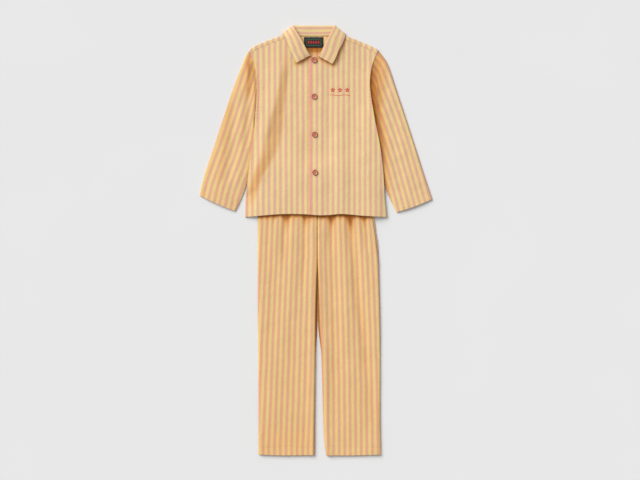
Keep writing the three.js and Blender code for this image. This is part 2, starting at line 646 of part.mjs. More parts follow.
function trouserFront(side) {
  const folds = side < 0 ? [...GATHERS_RIGHT, ...LEG_FOLDS_RIGHT] : [...GATHERS_LEFT, ...LEG_FOLDS_LEFT];
  const level = (u, p) => {
    const edge = Math.sin(Math.PI * THREE.MathUtils.clamp(u, 0, 1)) ** 0.5;
    const under = ease(40, 90, p.y); // lower where the shirt lies on it
    const most = mix(MOST_GAP, 2.6, under);
    const open = THREE.MathUtils.clamp(TROUSER_GAP + foldHeight(folds, p.x, p.y), 0.2, most);
    const overPocket = ease(POCKET_INNER_X - 14, POCKET_INNER_X - 4, p.x) * ease(-80, -58, p.y);
    return CLOTH + SEAM_GAP + Math.max(edge * open, (LAP + 0.2) * overPocket);
  };
  const rowShares = [
    0, 0.05, 0.12, 0.2, 0.29, 0.38, 0.47, 0.56, 0.64, 0.71, 0.77, 0.82, 0.86, 0.9, 0.935, 0.97, 1,
  ];
  return trouserPanel(side, 24, rowShares, level, FRONT_SIDE_LEFT);
}

const trouserBack = (side) => trouserPanel(side, 4, [0, 0.25, 0.5, 0.7, 0.82, 0.9, 1], () => 0);

// The waistband is an elastic casing: a flattened ring, open above and below.
function waistband() {
  const top = WAIST_TOP_Y;
  const bottom = WAIST_SEAM_Y;
  const radius = 1.25;
  const rings = [bottom, (bottom + top) / 2, top].map((y) => {
    const [x0, x1] = y === bottom ? [-130, 131] : [-128, 128];
    const lowZ = BAND_CLOTH / 2;
    const frontZ = (u) => lowZ + 2 * radius + 0.3 * Math.sin(Math.PI * u);
    const front = [0.12, 0.3, 0.5, 0.7, 0.88].map((u) => at(mix(x0, x1, u), y, frontZ(u)));
    const back = [0.88, 0.7, 0.5, 0.3, 0.12].map((u) => at(mix(x0, x1, u), y, lowZ));
    const turned = (x, direction, degrees) => {
      const angle = THREE.MathUtils.degToRad(degrees);
      const inset = BAND_CLOTH / 2 + radius * (1 - Math.cos(angle));
      return at(x + direction * inset, y, lowZ + radius * (1 + Math.sin(angle)));
    };
    return [
      turned(x0, 1, 0), turned(x0, 1, 60), ...front, turned(x1, -1, 60),
      turned(x1, -1, 0), turned(x1, -1, -60), ...back, turned(x0, 1, -60),
    ];
  });
  return wallAbout(rings, BAND_CLOTH, { round: true });
}

// The facing of the side pocket lies on the back, and shows beside the left front where the mouth stands
// open.
function pocketFacing() {
  const rows = [POCKET_BOTTOM_Y, -20, 5, 30, 55, 80, 100, 125.5].map((y) => {
    const edge = xAt(TROUSER_SIDE_LEFT, y) - 0.2;
    return [0, 0.5, 1].map((u) => at(mix(POCKET_INNER_X, edge, u), y, CLOTH + SEAM_GAP));
  });
  return layer(rows);
}

const group = new THREE.Group();
function add(name, geometry, material) {
  const mesh = new THREE.Mesh(geometry, material);
  mesh.name = name;
  group.add(mesh);
  return mesh;
}

const rightFront = shirtFront(-1);
const leftFront = shirtFront(1);
add("shirt_back", shirtBack(), STRIPED_COTTON);
add("shirt_front_right", rightFront.geometry, STRIPED_COTTON);
add("shirt_front_left", leftFront.geometry, STRIPED_COTTON);
add("sleeve_right", sleeve(-1), STRIPED_COTTON);
add("sleeve_left", sleeve(1), STRIPED_COTTON);
add("collar", collar(), STRIPED_COTTON);
add("neck_label", label(), BLACK_LABEL);

// Height of the left front's upper face in its straight middle.
function leftFrontTop(y) {
  const centre = leftFront.grid[0].length - 2;
  const column = leftFront.grid.map((row) => row[centre]);
  let row = 1;
  while (row < column.length - 1 && column[row].y < y) row++;
  const inside = (y - column[row - 1].y) / (column[row].y - column[row - 1].y);
  return mix(column[row - 1].z, column[row].z, inside) + CLOTH;
}

BUTTONS.forEach(([x, y], n) => {
  const reach = [y - BUTTON_RADIUS, y, y + BUTTON_RADIUS].map(leftFrontTop);
  add(`button_${n + 1}`, button(), BUTTON_RESIN).position.set(x, y, Math.max(...reach) + SEAM_GAP);
});

for (const [name, side] of [["right", -1], ["left", 1]]) {
  add(`trouser_back_${name}`, trouserBack(side), STRIPED_COTTON);
  add(`trouser_front_${name}`, trouserFront(side), STRIPED_COTTON);
}
add("pocket_facing_left", pocketFacing(), STRIPED_COTTON);
add("waistband", waistband(), STRIPED_COTTON);

export default group;
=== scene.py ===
"""A child's striped cotton pyjama set laid flat, seen from above: a buttoned shirt over its trousers' top.

Lengths are millimetres, and MM turns them to metres where a mesh is made. +X is the wearer's left, +Y is
towards the collar, and +Z is up from the floor. The outlines and levels are those of the solids that the
cloth replaces.
"""
import math

import bmesh
import bpy
import numpy as np
from mathutils import Matrix, Vector


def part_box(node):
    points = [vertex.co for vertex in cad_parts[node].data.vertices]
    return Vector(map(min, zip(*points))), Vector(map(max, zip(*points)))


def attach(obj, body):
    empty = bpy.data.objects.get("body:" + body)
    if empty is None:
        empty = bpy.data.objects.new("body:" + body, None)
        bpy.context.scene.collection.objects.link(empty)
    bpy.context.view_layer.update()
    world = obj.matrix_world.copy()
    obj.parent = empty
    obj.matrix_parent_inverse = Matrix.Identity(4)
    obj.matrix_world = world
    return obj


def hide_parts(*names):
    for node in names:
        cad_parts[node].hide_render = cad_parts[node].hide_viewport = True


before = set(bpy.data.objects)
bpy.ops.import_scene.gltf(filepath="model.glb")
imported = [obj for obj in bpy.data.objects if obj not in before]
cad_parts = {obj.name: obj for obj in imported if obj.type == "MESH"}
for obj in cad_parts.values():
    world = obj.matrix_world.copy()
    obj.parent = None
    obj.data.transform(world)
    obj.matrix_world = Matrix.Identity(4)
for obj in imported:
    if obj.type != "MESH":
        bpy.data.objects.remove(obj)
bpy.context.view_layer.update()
MM = 0.001

# Walls and gaps of the solids, whose middle the cloth follows
CLOTH = 1.5
SEAM_GAP = 0.3
LAP = CLOTH + SEAM_GAP
SHOULDER_WRAP = 10
SHOULDER_GAP = 0.9
ARMHOLE_GAP = 2.2
FRONT_GAP = 2.2
TROUSER_GAP = 3.2
FOLD_RADIUS = 1.0
COLLAR_TURN = 1.2
BAND_CLOTH = 2.1

# Thickness of the cloth that shows, and how far a stitch's middle lies above its face
COTTON = 1.1
COLLAR_COTTON = 1.6
BAND_COTTON = 1.8
STITCH_LIFT = 0.05

# How far cloth is lifted off the floor by what lies under it, and the least that the collar keeps off it
TROUSER_LIFT = 6.6
SLEEVE_LIFT = 6.0
COLLAR_LIFT = 2.4
REST_GAP = 0.2

UNDERARM_Y = 292
ARMHOLE_HEIGHT = 174
RIGHT_FRONT_EDGE_X = 10
LEFT_FRONT_EDGE_X = -19
WAIST_TOP_Y = 156
WAIST_SEAM_Y = 126
LEG_TOP_Y = 125.5
POCKET_BOTTOM_Y = -46
POCKET_INNER_X = 112
HEM_DEPTH = 20
LEG_HEM_Y = -537
STRIPE_REPEAT = 14

# Outlines. Columns: x, y, from the hem upwards unless the name says otherwise.
BODY_SIDE_RIGHT = [
    (-177, 58), (-175, 106), (-171, 148), (-166, 188), (-160, 231), (-156, 263), (-153, 292),
]
BODY_SIDE_LEFT = [(177, 58), (171.5, 106), (170, 138), (167, 183), (161, 231), (155, 263), (149, 292)]
ARMHOLE_RIGHT = [
    (-153, 292), (-150, 328), (-148, 360), (-148, 390), (-150, 418), (-155, 443), (-164.5, 466),
]
ARMHOLE_LEFT = [(149, 292), (143, 325), (138, 357), (135, 388), (137, 418), (142.5, 444), (153, 467)]
SHIRT_HEM = [
    (-177, 58), (-147, 60.5), (-106, 64), (-76, 65.5), (-31, 65), (4, 62.5), (30, 62.8), (66, 65.5),
    (112, 61.5), (145, 59.5), (177, 58),
]
SHOULDER_RIGHT = [(-168, 474), (-157, 483.5), (-138.5, 492.3), (-110, 503.5), (-72, 516)]
SHOULDER_LEFT = [(157, 475), (140, 484.5), (110.5, 497), (88, 506), (64, 514)]
NECK_FRONT_RIGHT = [(-67.7, 506.5), (-62, 487), (-51, 473), (-35, 464.5), (-15, 461), (10, 460.5)]
NECK_FRONT_LEFT = [(59.7, 504.5), (54, 486), (44, 473), (30, 465), (9, 461.5), (-19, 461)]
NECK_BACK = [(-72, 513), (-50, 509.5), (-5, 508.5), (40, 509.5), (64, 511)]
SLEEVE_OUTER_RIGHT = [
    (-168.8, 472.5), (-176, 459), (-191.5, 421), (-208, 377), (-223, 332), (-238, 287), (-252.5, 242),
    (-268, 197), (-282, 152), (-291, 112),
]
SLEEVE_INNER_RIGHT = [
    (-154, 291.5), (-156.5, 274), (-153, 254), (-153, 232), (-160, 193), (-171, 148), (-185.5, 106),
    (-201, 72.5),
]
CUFF_RIGHT = [(-291, 112), (-247, 91), (-201, 72.5)]
SLEEVE_OUTER_LEFT = [
    (158.5, 473), (176.5, 447), (187, 421), (201.5, 377), (224, 309), (246, 242), (267.5, 174),
    (291, 103),
]
SLEEVE_INNER_LEFT = [
    (150, 291.5), (158, 276), (150, 254), (152, 226), (160, 182), (173, 133), (185, 103), (201, 70),
]
CUFF_LEFT = [(291, 103), (245, 84), (201, 70)]
TROUSER_SIDE_RIGHT = [
    (-143, -535), (-143, -444), (-144, -242), (-145, -172), (-145, 18), (-144, 56), (-136, 93),
    (-130, 125.5),
]
TROUSER_SIDE_LEFT = [
    (162, -535), (160, -444), (160, -242), (157, -89), (155, -19), (150, 18), (145, 56), (138, 93),
    (131, 125.5),
]
FRONT_SIDE_LEFT = [
    (162, -535), (160, -444), (160, -242), (157, -89), (155, -50), (151, -18), (146, 22), (141, 52),
    (132, 92), (125, 125.5),
]
INSEAM_RIGHT = [
    (-4, -536), (-3, -399), (-1, -242), (0, -172), (2, -100), (3.2, -62), (3.4, 20), (3.4, 125.5),
]
INSEAM_LEFT = [
    (26, -537), (21, -492), (18, -419), (14, -289), (9, -215), (6, -124), (4.2, -62), (4, 20), (4, 125.5),
]
LEG_HEM_RIGHT = [(-143, -535), (-80, -537), (-4, -536)]
LEG_HEM_LEFT = [(26, -537), (90, -537), (162, -535)]

# Collar stations from the wearer's right front round the back of the neck to the left front.
# Columns: seam x, y, z; fold x, y, z; outer edge x, y, z.
COLLAR_STATIONS = [
    (-15.5, 462, 7.4, -14.5, 460, 11.2, -48.5, 443, 10.2),
    (-34, 466.5, 6.6, -24.5, 479, 13.2, -56, 459, 10.6),
    (-49, 475, 6.8, -35, 499, 14.2, -63, 473, 10.6),
    (-60, 489, 7.2, -46.5, 518, 13.2, -72.5, 494, 10.0),
    (-66.5, 504, 7.4, -55, 532.5, 9.8, -80, 509.5, 9.0),
    (-68, 511.5, 5.6, -57.5, 536, 5.4, -84, 517, 5.2),
    (-64, 514, 4.2, -54, 536.8, 2.5, -81, 518, 1.2),
    (-48, 511.5, 3.6, -42, 536.8, 2.15, -60, 508, 1.0),
    (-5, 510.2, 3.6, -5, 536.8, 2.15, -5, 502, 1.0),
    (38, 511.5, 3.6, 32, 536.8, 2.15, 50, 508, 1.0),
    (56, 513, 4.2, 43, 536.8, 2.5, 70.5, 517, 1.2),
    (60, 510, 5.6, 46.5, 536, 5.4, 72, 516, 5.2),
    (58.5, 502, 7.4, 44, 532.5, 9.8, 72, 507, 9.8),
    (52, 488, 7.2, 37, 518, 13.2, 65.5, 489.5, 11.6),
    (41.5, 475, 6.8, 26.5, 499, 14.2, 56.5, 472, 12.4),
    (27, 467, 7.2, 17, 479, 13.2, 49.5, 454, 12.6),
    (9.5, 462.5, 8.4, 6, 457, 11.8, 41.5, 439.5, 12.0),
]
LABEL = {"x": (-30, 18), "y": (481.5, 507.5), "thickness": 0.8, "above": 0.35}
BUTTONS = [(-4.3, 450), (-4, 359), (-3, 264), (-2, 169)]
BUTTON_RADIUS = 7.0
BUTTON_HEIGHT = 2.5
THREAD_HOLE_OFFSET = 1.7

# The broad fold down the right front leans over to its foot.
# Columns: y, crest x, foot x, height, depth of the shade painted on its leaning side.
BROAD_FOLD = [
    (80, -176, -160, 0, 0), (108, -171, -150, 1.8, 0.32), (126, -168, -147, 3.0, 0.48),
    (163, -158, -133, 4.3, 0.46), (188, -147, -117, 4.9, 0.42), (226, -132, -97, 5.3, 0.36),
    (276, -121, -84, 5.6, 0.32), (338, -103, -79, 5.2, 0.36), (413, -88, -69, 4.0, 0.28),
    (455, -82, -66, 2.8, 0.18), (475, -80, -68, 1.2, 0.05),
]

# Creases. Columns: x0, y0, x1, y1, width, rise. The largest lie on the solids' own folds, or beside them.
FRONT_CREASES_RIGHT = [
    (-40, 300, -48, 90, 14, 0.8), (-120, 440, -128, 330, 9, 0.5), (-134, 420, -140, 340, 7, -0.4),
    (-58, 420, -62, 300, 8, 0.4), (-30, 250, -34, 110, 7, -0.4), (-66, 200, -78, 80, 10, 0.6),
    (-112, 180, -128, 80, 9, -0.5), (-20, 420, -22, 330, 6, 0.3),
]
FRONT_CREASES_LEFT = [
    (55, 340, 66, 55, 16, 2.5), (90, 250, 98, 60, 14, -0.7), (122, 410, 132, 190, 14, 0.7),
    (15, 430, 14, 392, 4, -0.5), (22, 350, 26, 250, 8, 0.3), (36, 180, 44, 80, 8, -0.4),
    (130, 330, 142, 160, 8, -0.5), (104, 440, 108, 350, 8, -0.4), (60, 440, 58, 380, 8, 0.3),
    (126, 180, 134, 80, 9, 0.5), (20, 230, 18, 110, 7, 0.3),
]
SLEEVE_CREASES_RIGHT = [
    (-204, 340, -222, 120, 14, -2.8), (-163, 400, -174, 215, 10, -2.3), (-176, 446, -184, 370, 7, -0.8),
    (-160, 430, -166, 380, 5, 0.7), (-186, 330, -204, 250, 8, 0.7), (-196, 250, -212, 150, 7, -0.7),
    (-238, 280, -256, 190, 8, 0.7), (-246, 220, -262, 150, 7, -0.6), (-226, 180, -240, 112, 8, 0.6),
    (-184, 200, -198, 130, 7, 0.6), (-206, 150, -214, 100, 6, -0.5), (-200, 420, -212, 340, 7, -0.6),
    (-190, 400, -200, 350, 6, 0.6),
]
SLEEVE_CREASES_LEFT = [
    (177, 450, 182, 360, 7, -0.8), (168, 446, 170, 390, 6, 0.6), (156, 330, 174, 220, 8, -0.8),
    (170, 330, 188, 220, 7, 0.7), (192, 340, 214, 220, 9, -0.8), (202, 320, 232, 190, 9, 0.7),
    (202, 190, 222, 100, 9, -0.7), (186, 380, 196, 330, 6, 0.6), (190, 250, 206, 160, 7, -0.6),
    (226, 240, 250, 150, 8, -0.7), (180, 200, 196, 120, 7, 0.6), (224, 170, 238, 110, 8, 0.6),
    (208, 260, 224, 200, 7, 0.5),
]
GATHERS_RIGHT = [
    (-75, 130, -79, -60, 9, -2.8), (-23, 130, -33, -130, 9, -2.6), (-118, 130, -124, -60, 8, -0.8),
    (-98, 130, -106, 30, 6, -1.2), (-62, 130, -67, 16, 6, -1.2), (-46, 130, -50, 34, 6, -1.0),
    (-12, 130, -14, 24, 6, -1.2), (-134, 120, -138, 40, 5, -0.8), (-54, 130, -62, -200, 12, 1.0),
    (-14, 60, -22, -230, 11, 1.1),
]
GATHERS_LEFT = [
    (36, 130, 40, -40, 10, -3.4), (40, -20, 48, -440, 14, -2.0), (82, 130, 90, -10, 9, -3.2),
    (84, 40, 128, -330, 11, -3.2), (122, -280, 146, -460, 14, -1.6), (117, 130, 124, -30, 8, -2.3),
    (16, 130, 15, 40, 6, -1.2), (60, 130, 63, 30, 6, -1.0), (73, 130, 80, 10, 6, -0.8),
    (62, 60, 76, -300, 14, 1.2), (108, 40, 132, -160, 10, 0.9),
]
LEG_CREASES_RIGHT = [
    (-104, -40, -118, -300, 14, -0.8), (-70, -60, -84, -330, 14, 0.7), (-54, -200, -60, -430, 12, -0.6),
    (-108, -330, -112, -500, 12, 0.6), (-34, -380, -30, -510, 9, -0.5),
]
LEG_CREASES_LEFT = [
    (76, -60, 84, -300, 12, 0.7), (140, -60, 150, -260, 10, 0.6), (84, -300, 90, -480, 13, 0.7),
    (30, -200, 34, -400, 10, 0.5), (126, -360, 132, -490, 11, -0.5),
]

# Where two of a leg's yellow stripes run. Columns: y, first x, second x.
STRIPES_RIGHT_LEG = [
    (-514, -96.5, -25.7), (-354, -90.5, -20.5), (-194, -85.2, -17.2), (-34, -78.5, -12.5),
    (46, -76, -11.5),
]
STRIPES_LEFT_LEG = [
    (-514, 51, 148), (-354, 50.5, 145.7), (-194, 47.5, 140.5), (-34, 43.2, 134.2), (46, 42, 128),
]
REPEATS_BETWEEN_STRIPES = {-1: 5, 1: 7}


def part(value, low, high):
    """How far a value has come from low to high, between 0 and 1."""
    return np.clip((value - low) / (high - low), 0, 1)


def ease(low, high, value):
    """0 below low and 1 above high, with a soft start and end."""
    t = part(value, low, high)
    return t * t * (3 - 2 * t)


def mix(a, b, share):
    return a + (b - a) * share


class Line:
    """A smooth line through a table's rows, read by its share of length."""

    def __init__(self, rows, samples=24):
        rows = np.array(rows, float)
        slopes = (np.vstack([rows[1:], rows[-1:]]) - np.vstack([rows[:1], rows[:-1]])) / 2
        steps = np.linspace(0, 1, samples, endpoint=False)[:, None]
        ends = zip(rows[:-1], rows[1:], slopes[:-1], slopes[1:])
        stretches = [self.stretch(*pair, steps) for pair in ends]
        self.points = np.vstack(stretches + [rows[-1:]])
        lengths = np.hypot(*np.diff(self.points, axis=0).T[:2])
        self.share = np.concatenate([[0], np.cumsum(lengths)]) / lengths.sum()

    @staticmethod
    def stretch(a, b, slope_a, slope_b, t):
        cubic = 2 * a - 2 * b + slope_a + slope_b
        square = -3 * a + 3 * b - 2 * slope_a - slope_b
        return cubic * t**3 + square * t**2 + slope_a * t + a

    def __call__(self, share):
        return np.stack([np.interp(share, self.share, column) for column in self.points.T], -1)

    def x_at(self, y):
        points = self.points[np.argsort(self.points[:, 1])]
        return np.interp(y, points[:, 1], points[:, 0])

    def y_at(self, x):
        points = self.points[np.argsort(self.points[:, 0])]
        return np.interp(x, points[:, 0], points[:, 1])


def rail(rows, share):
    """A centripetal spline through a rail's rows, read by its share of the number of rows."""
    rows = np.array(rows, float)
    padded = np.vstack([2 * rows[0] - rows[1], rows, 2 * rows[-1] - rows[-2]])
    place = np.clip(share, 0, 1) * (len(rows) - 1)
    n = np.minimum(place.astype(int), len(rows) - 2)
    t = (place - n)[:, None]
    p0, p1, p2, p3 = (padded[n + k] for k in range(4))
    pairs = (p0, p1), (p1, p2), (p2, p3)
    d0, d1, d2 = (np.sqrt(np.linalg.norm(b - a, axis=1))[:, None] for a, b in pairs)
    slope_1 = ((p1 - p0) / d0 - (p2 - p0) / (d0 + d1) + (p2 - p1) / d1) * d1
    slope_2 = ((p2 - p1) / d1 - (p3 - p1) / (d1 + d2) + (p3 - p2) / d2) * d1
    return Line.stretch(p1, p2, slope_1, slope_2, t)


def straight(a, b):
    a, b = np.array(a, float), np.array(b, float)
    return lambda share: a + (b - a) * np.asarray(share, float)[..., None]


def chained(first, second, meeting):
    """Two lines end to end, the first one up to the share where they meet."""

    def read(share):
        share = np.asarray(share, float)
        before, after = first(part(share, 0, meeting)), second(part(share, meeting, 1))
        return np.where((share < meeting)[..., None], before, after)

    return read


def patch(left, right, bottom, top, u, v):
    """Points inside four lines that meet at their ends, u across and v up."""
    across, up = u[:, None], v[:, None]
    low = mix(bottom(0.0), bottom(1.0), across)
    high = mix(top(0.0), top(1.0), across)
    return mix(left(v), right(v), across) + mix(bottom(u), top(u), up) - mix(low, high, up)


def bells(rows, x, y):
    """Each crease's rise and its bell: 1 along the middle, 0 beside it, wandering and faded at its ends."""
    for n, (x0, y0, x1, y1, width, rise) in enumerate(rows):
        dx, dy = x1 - x0, y1 - y0
        length = math.hypot(dx, dy)
        along = ((x - x0) * dx + (y - y0) * dy) / length
        across = ((x - x0) * dy - (y - y0) * dx) / length + 1.2 * np.sin(along / (9 + 2 * width) + 1.7 * n)
        share = along / length
        fade = ease(-0.12, 0.18, share) * (1 - ease(0.7, 1.1, share))
        yield rise, fade * np.exp(-((across / width) ** 2))


def creases(rows, x, y):
    """Height of soft ridges and troughs."""
    return sum(rise * bell for rise, bell in bells(rows, x, y))


def hollows(rows, x, y):
    """How deep in a trough a point lies, from 0 to 1."""
    return np.clip(sum(max(-rise, 0) * bell for rise, bell in bells(rows, x, y)) / 4, 0, 1)


def broad_fold(x, y):
    """Height of the broad fold, and how deep the painted shade is on the side that leans over."""
    ys, *columns = np.array(BROAD_FOLD, float).T
    crest, foot, height, depth = (np.interp(y, ys, column) for column in columns)
    share = (x - crest) / (foot - crest)
    down = 1 - 0.6 * np.clip(share, 0, 1) - 0.4 * ease(0, 1, share)
    profile = np.where(share < 0, np.exp(-(((x - crest) / 34) ** 2)), down)
    return height * profile, depth * ease(-0.25, 0.3, share) * (1 - ease(0.75, 1.3, share))


def ripples(x, y, wavelength, seed):
    """Uneven ground from a few crossed waves, between about -1 and 1."""
    draw = np.random.default_rng(seed)
    height = np.zeros_like(x)
    for _ in range(8):
        angle = draw.uniform(0, math.tau)
        length = wavelength * draw.uniform(0.6, 1.7)
        phase = draw.uniform(0, math.tau)
        height += np.sin((x * math.cos(angle) + y * math.sin(angle)) * math.tau / length + phase)
    return height / 4


def puckers(along, across, reach, depth, seed=1):
    """Small uneven waves that run square to a seam and fade with the distance from it."""
    waves = np.sin(along * math.tau / 8.5 + 1.3 * np.sin(along / 23 + seed))
    waves = waves + 0.6 * np.sin(along * math.tau / 5.1 + seed)
    return depth * waves * np.exp(-np.maximum(across, 0) / reach)


# Colours and materials
def hex_colour(code):
    """An sRGB hex value as linear red, green, blue and alpha."""
    channels = [int(code[n:n + 2], 16) / 255 for n in (0, 2, 4)]
    return (*(c / 12.92 if c <= 0.04045 else ((c + 0.055) / 1.055) ** 2.4 for c in channels), 1.0)


def add(tree, kind, settings=(), inputs=()):
    """Adds a node with its settings, and links or sets its inputs."""
    node = tree.nodes.new(kind)
    for key, value in dict(settings).items():
        setattr(node, key, value)
    for key, value in dict(inputs).items():
        if isinstance(value, bpy.types.NodeSocket):
            tree.links.new(value, node.inputs[key])
        else:
            node.inputs[key].default_value = value
    return node


def new_material(name):
    """A material, its emptied tree and its place coordinates in metres."""
    material = bpy.data.materials.new(name)
    material.use_nodes = True
    tree = material.node_tree
    tree.nodes.clear()
    return material, tree, add(tree, "ShaderNodeTexCoord").outputs["Object"]


def surface(tree, inputs):
    shader = add(tree, "ShaderNodeBsdfPrincipled", inputs=inputs)
    add(tree, "ShaderNodeOutputMaterial", inputs={"Surface": shader.outputs[0]})


def calculate(tree, operation, a, b=0.0):
    return add(tree, "ShaderNodeMath", {"operation": operation}, {0: a, 1: b}).outputs[0]


def ranged(tree, value, low, high, first=0.0, last=1.0, kind="LINEAR"):
    """The stretch from low to high as one from first to last."""
    inputs = {0: value, 1: low, 2: high, 3: first, 4: last}
    return add(tree, "ShaderNodeMapRange", {"interpolation_type": kind}, inputs).outputs[0]


def attribute(tree, name):
    return add(tree, "ShaderNodeAttribute", {"attribute_name": name}).outputs["Fac"]


def bump(tree, height, strength, distance, **under):
    inputs = {"Height": height, "Strength": strength, "Distance": distance, **under}
    return add(tree, "ShaderNodeBump", inputs=inputs).outputs[0]


def blend(tree, share, a, b, kind="MIX"):
    node = add(tree, "ShaderNodeMix", {"data_type": "RGBA", "blend_type": kind})
    for key, value in ((0, share), (6, a), (7, b)):
        if isinstance(value, bpy.types.NodeSocket):
            tree.links.new(value, node.inputs[key])
        else:
            node.inputs[key].default_value = value
    return node.outputs[2]


def toned(tree, colour, tone):
    grey = add(tree, "ShaderNodeCombineColor", inputs={0: tone, 1: tone, 2: tone}).outputs[0]
    return blend(tree, 1.0, colour, grey, "MULTIPLY")


def noise(tree, place, wavelength, detail=2.0):
    """Noise whose features are about a wavelength in millimetres across, on coordinates in metres."""
    inputs = {"Vector": place, "Scale": 1000 / wavelength, "Detail": detail}
    return add(tree, "ShaderNodeTexNoise", inputs=inputs).outputs[0]


def cotton(name, yellow, pink):
    """Yarn-dyed cotton, plain woven and washed soft: dull, fuzzy stripes whose edges wander by a thread."""
    material, tree, place = new_material(name)
    grain = add(tree, "ShaderNodeUVMap", {"uv_map": "grain"}).outputs[0]
    grain_axes = add(tree, "ShaderNodeSeparateXYZ", inputs={0: grain})
    across, along = grain_axes.outputs[0], grain_axes.outputs[1]

    wander = calculate(tree, "SUBTRACT", noise(tree, place, 9, 3.0), 0.5)
    wandered = calculate(tree, "ADD", across, calculate(tree, "MULTIPLY", wander, 0.06))
    from_yellow = calculate(tree, "PINGPONG", wandered, 0.5)
    pinkness = ranged(tree, from_yellow, 0.14, 0.36, kind="SMOOTHSTEP")
    colour = blend(tree, pinkness, hex_colour(yellow), hex_colour(pink))

    # the front's edge lies on another pink stripe, which shows through as coral
    colour = blend(tree, attribute(tree, "coral"), colour, hex_colour("E79783"))

    # painted shade and painted bounce light: a tint in place of part of the shade in hollows, under edges
    # and beside the body, and of the light that dyed walls throw on each other; it is warmer than the cloth,
    # and in the deepest hollows darker too
    painted_shade = attribute(tree, "painted_shade")
    cubed = calculate(tree, "POWER", painted_shade, 3.0)
    deepest = calculate(tree, "MINIMUM", calculate(tree, "MULTIPLY", cubed, 2.2), 1.0)
    shade_and_bounce_tint = blend(tree, deepest, (0.98, 0.56, 0.05, 1.0), (0.57, 0.29, 0.08, 1.0))
    colour = blend(tree, painted_shade, colour, blend(tree, 1.0, colour, shade_and_bounce_tint, "MULTIPLY"))

    # slubs: single thicker threads, long down the cloth and a fifth of a millimetre wide, drawn as 0.9 mm
    stretched = add(tree, "ShaderNodeMapping", inputs={"Vector": grain, "Scale": (16.0, 0.9, 1.0)}).outputs[0]
    slub_tone = ranged(tree, noise(tree, stretched, 1000), 0.3, 0.7, 0.93, 1.05)
    mottle_tone = ranged(tree, noise(tree, place, 60, 3.0), 0.3, 0.7, 0.97, 1.02)
    colour = toned(tree, colour, calculate(tree, "MULTIPLY", slub_tone, mottle_tone))

    # warp and weft are 0.3 mm apart, too fine to show, and are drawn 0.8 mm apart
    threads = math.tau * STRIPE_REPEAT / 0.8
    warp = calculate(tree, "SINE", calculate(tree, "MULTIPLY", across, threads))
    weft = calculate(tree, "SINE", calculate(tree, "MULTIPLY", along, threads))
    weave = bump(tree, calculate(tree, "MULTIPLY", warp, weft), 0.25, 0.0001)
    small = calculate(tree, "MULTIPLY", noise(tree, place, 7, 4.0), 0.35)
    crumple = calculate(tree, "ADD", small, noise(tree, place, 26))
    surface(tree, {
        "Base Color": colour, "Roughness": 0.88, "Specular IOR Level": 0.25, "IOR": 1.5, "Sheen Weight": 0.12,
        "Sheen Roughness": 0.5, "Normal": bump(tree, crumple, 1.0, 0.0011, Normal=weave),
    })
    return material


def label_tape():
    """Black damask tape: a tight satin weave with a low gloss along its threads."""
    material, tree, place = new_material("label tape")
    axes = add(tree, "ShaderNodeSeparateXYZ", inputs={0: place})
    ribs = calculate(tree, "SINE", calculate(tree, "MULTIPLY", axes.outputs[1], math.tau / (0.7 * MM)))
    tone = ranged(tree, noise(tree, place, 5), 0.3, 0.7)
    colour = blend(tree, tone, hex_colour("0F0E0E"), hex_colour("1B1918"))
    relief = bump(tree, ribs, 0.3, 0.0001)
    surface(tree, {"Base Color": colour, "Roughness": 0.75, "Sheen Weight": 0.04, "Normal": relief})
    return material


def thread(name, code, roughness=0.6):
    """Spun polyester sewing thread: round, twisted and slightly glossy."""
    material, tree, place = new_material(name)
    twist = noise(tree, place, 0.5, 1.0)
    colour = toned(tree, hex_colour(code), ranged(tree, twist, 0.3, 0.7, 0.9, 1.06))
    relief = bump(tree, twist, 0.4, 0.0001)
    surface(tree, {"Base Color": colour, "Roughness": roughness, "Sheen Weight": 0.1, "Normal": relief})
    return material


def button_resin():
    """Cast polyester resin with pearl flakes: salmon, cloudy and polished, with a hard soft-edged gloss."""
    material, tree, place = new_material("button resin")
    swirl = ranged(tree, noise(tree, place, 6, 3.0), 0.35, 0.65)
    colour = blend(tree, swirl, hex_colour("D07A5E"), hex_colour("E89C80"))

    # painted shade: the raised rim, thicker than the dished middle, is coloured darker all round for the
    # shade on its slopes
    colour = blend(tree, attribute(tree, "painted_rim_shade"), colour, hex_colour("9C4A36"))
    surface(tree, {
        "Base Color": colour, "Roughness": 0.36, "IOR": 1.54, "Coat Weight": 0.2, "Coat Roughness": 0.12,
        "Normal": bump(tree, noise(tree, place, 1.2), 0.15, 0.0001),
    })
    return material


def paper_floor():
    """Matt card backdrop: pale grey with only a trace of grain."""
    material, tree, place = new_material("paper floor")
    tone = ranged(tree, noise(tree, place, 300), 0.3, 0.7)
    colour = blend(tree, tone, hex_colour("E6E6E6"), hex_colour("E8E8E8"))
    surface(tree, {"Base Color": colour, "Roughness": 0.95, "Specular IOR Level": 0.1})
    return material


SHIRT_COTTON = cotton("striped cotton of the shirt", "EAD292", "E2B096")
TROUSER_COTTON = cotton("striped cotton of the trousers", "E9CA88", "E0AA88")
TAPE = label_tape()
RESIN = button_resin()
SEWING_THREAD = thread("sewing thread", "E8BE9A")
BUTTON_THREAD = thread("button thread", "A9523E")
RED_THREAD = thread("red embroidery thread", "D5302E", 0.45)
GREEN_THREAD = thread("green label thread", "3E9A72", 0.5)


# Making pieces
def link(mesh, name, material):
    piece = bpy.data.objects.new(name, mesh)
    bpy.context.collection.objects.link(piece)
    mesh.materials.append(material)
    return piece


def coordinates(mesh):
    flat = np.empty(3 * len(mesh.vertices))
    mesh.vertices.foreach_get("co", flat)
    return flat.reshape(-1, 3)


def write_shares(mesh, name, shares):
    layer = mesh.attributes.new(name, "FLOAT", "POINT")
    layer.data.foreach_set("value", shares.astype(np.float32))


def smooth(mesh):
    mesh.polygons.foreach_set("use_smooth", [True] * len(mesh.polygons))


def snug(share, count, first):
    """A row's shares with its two end cells narrowed, so that an edge rounds off within a millimetre."""
    index = np.rint(share * count)
    inner = first + (index - 1) / (count - 2) * (1 - 2 * first)
    return np.where(index < 0.5, 0, np.where(index > count - 0.5, 1, inner))


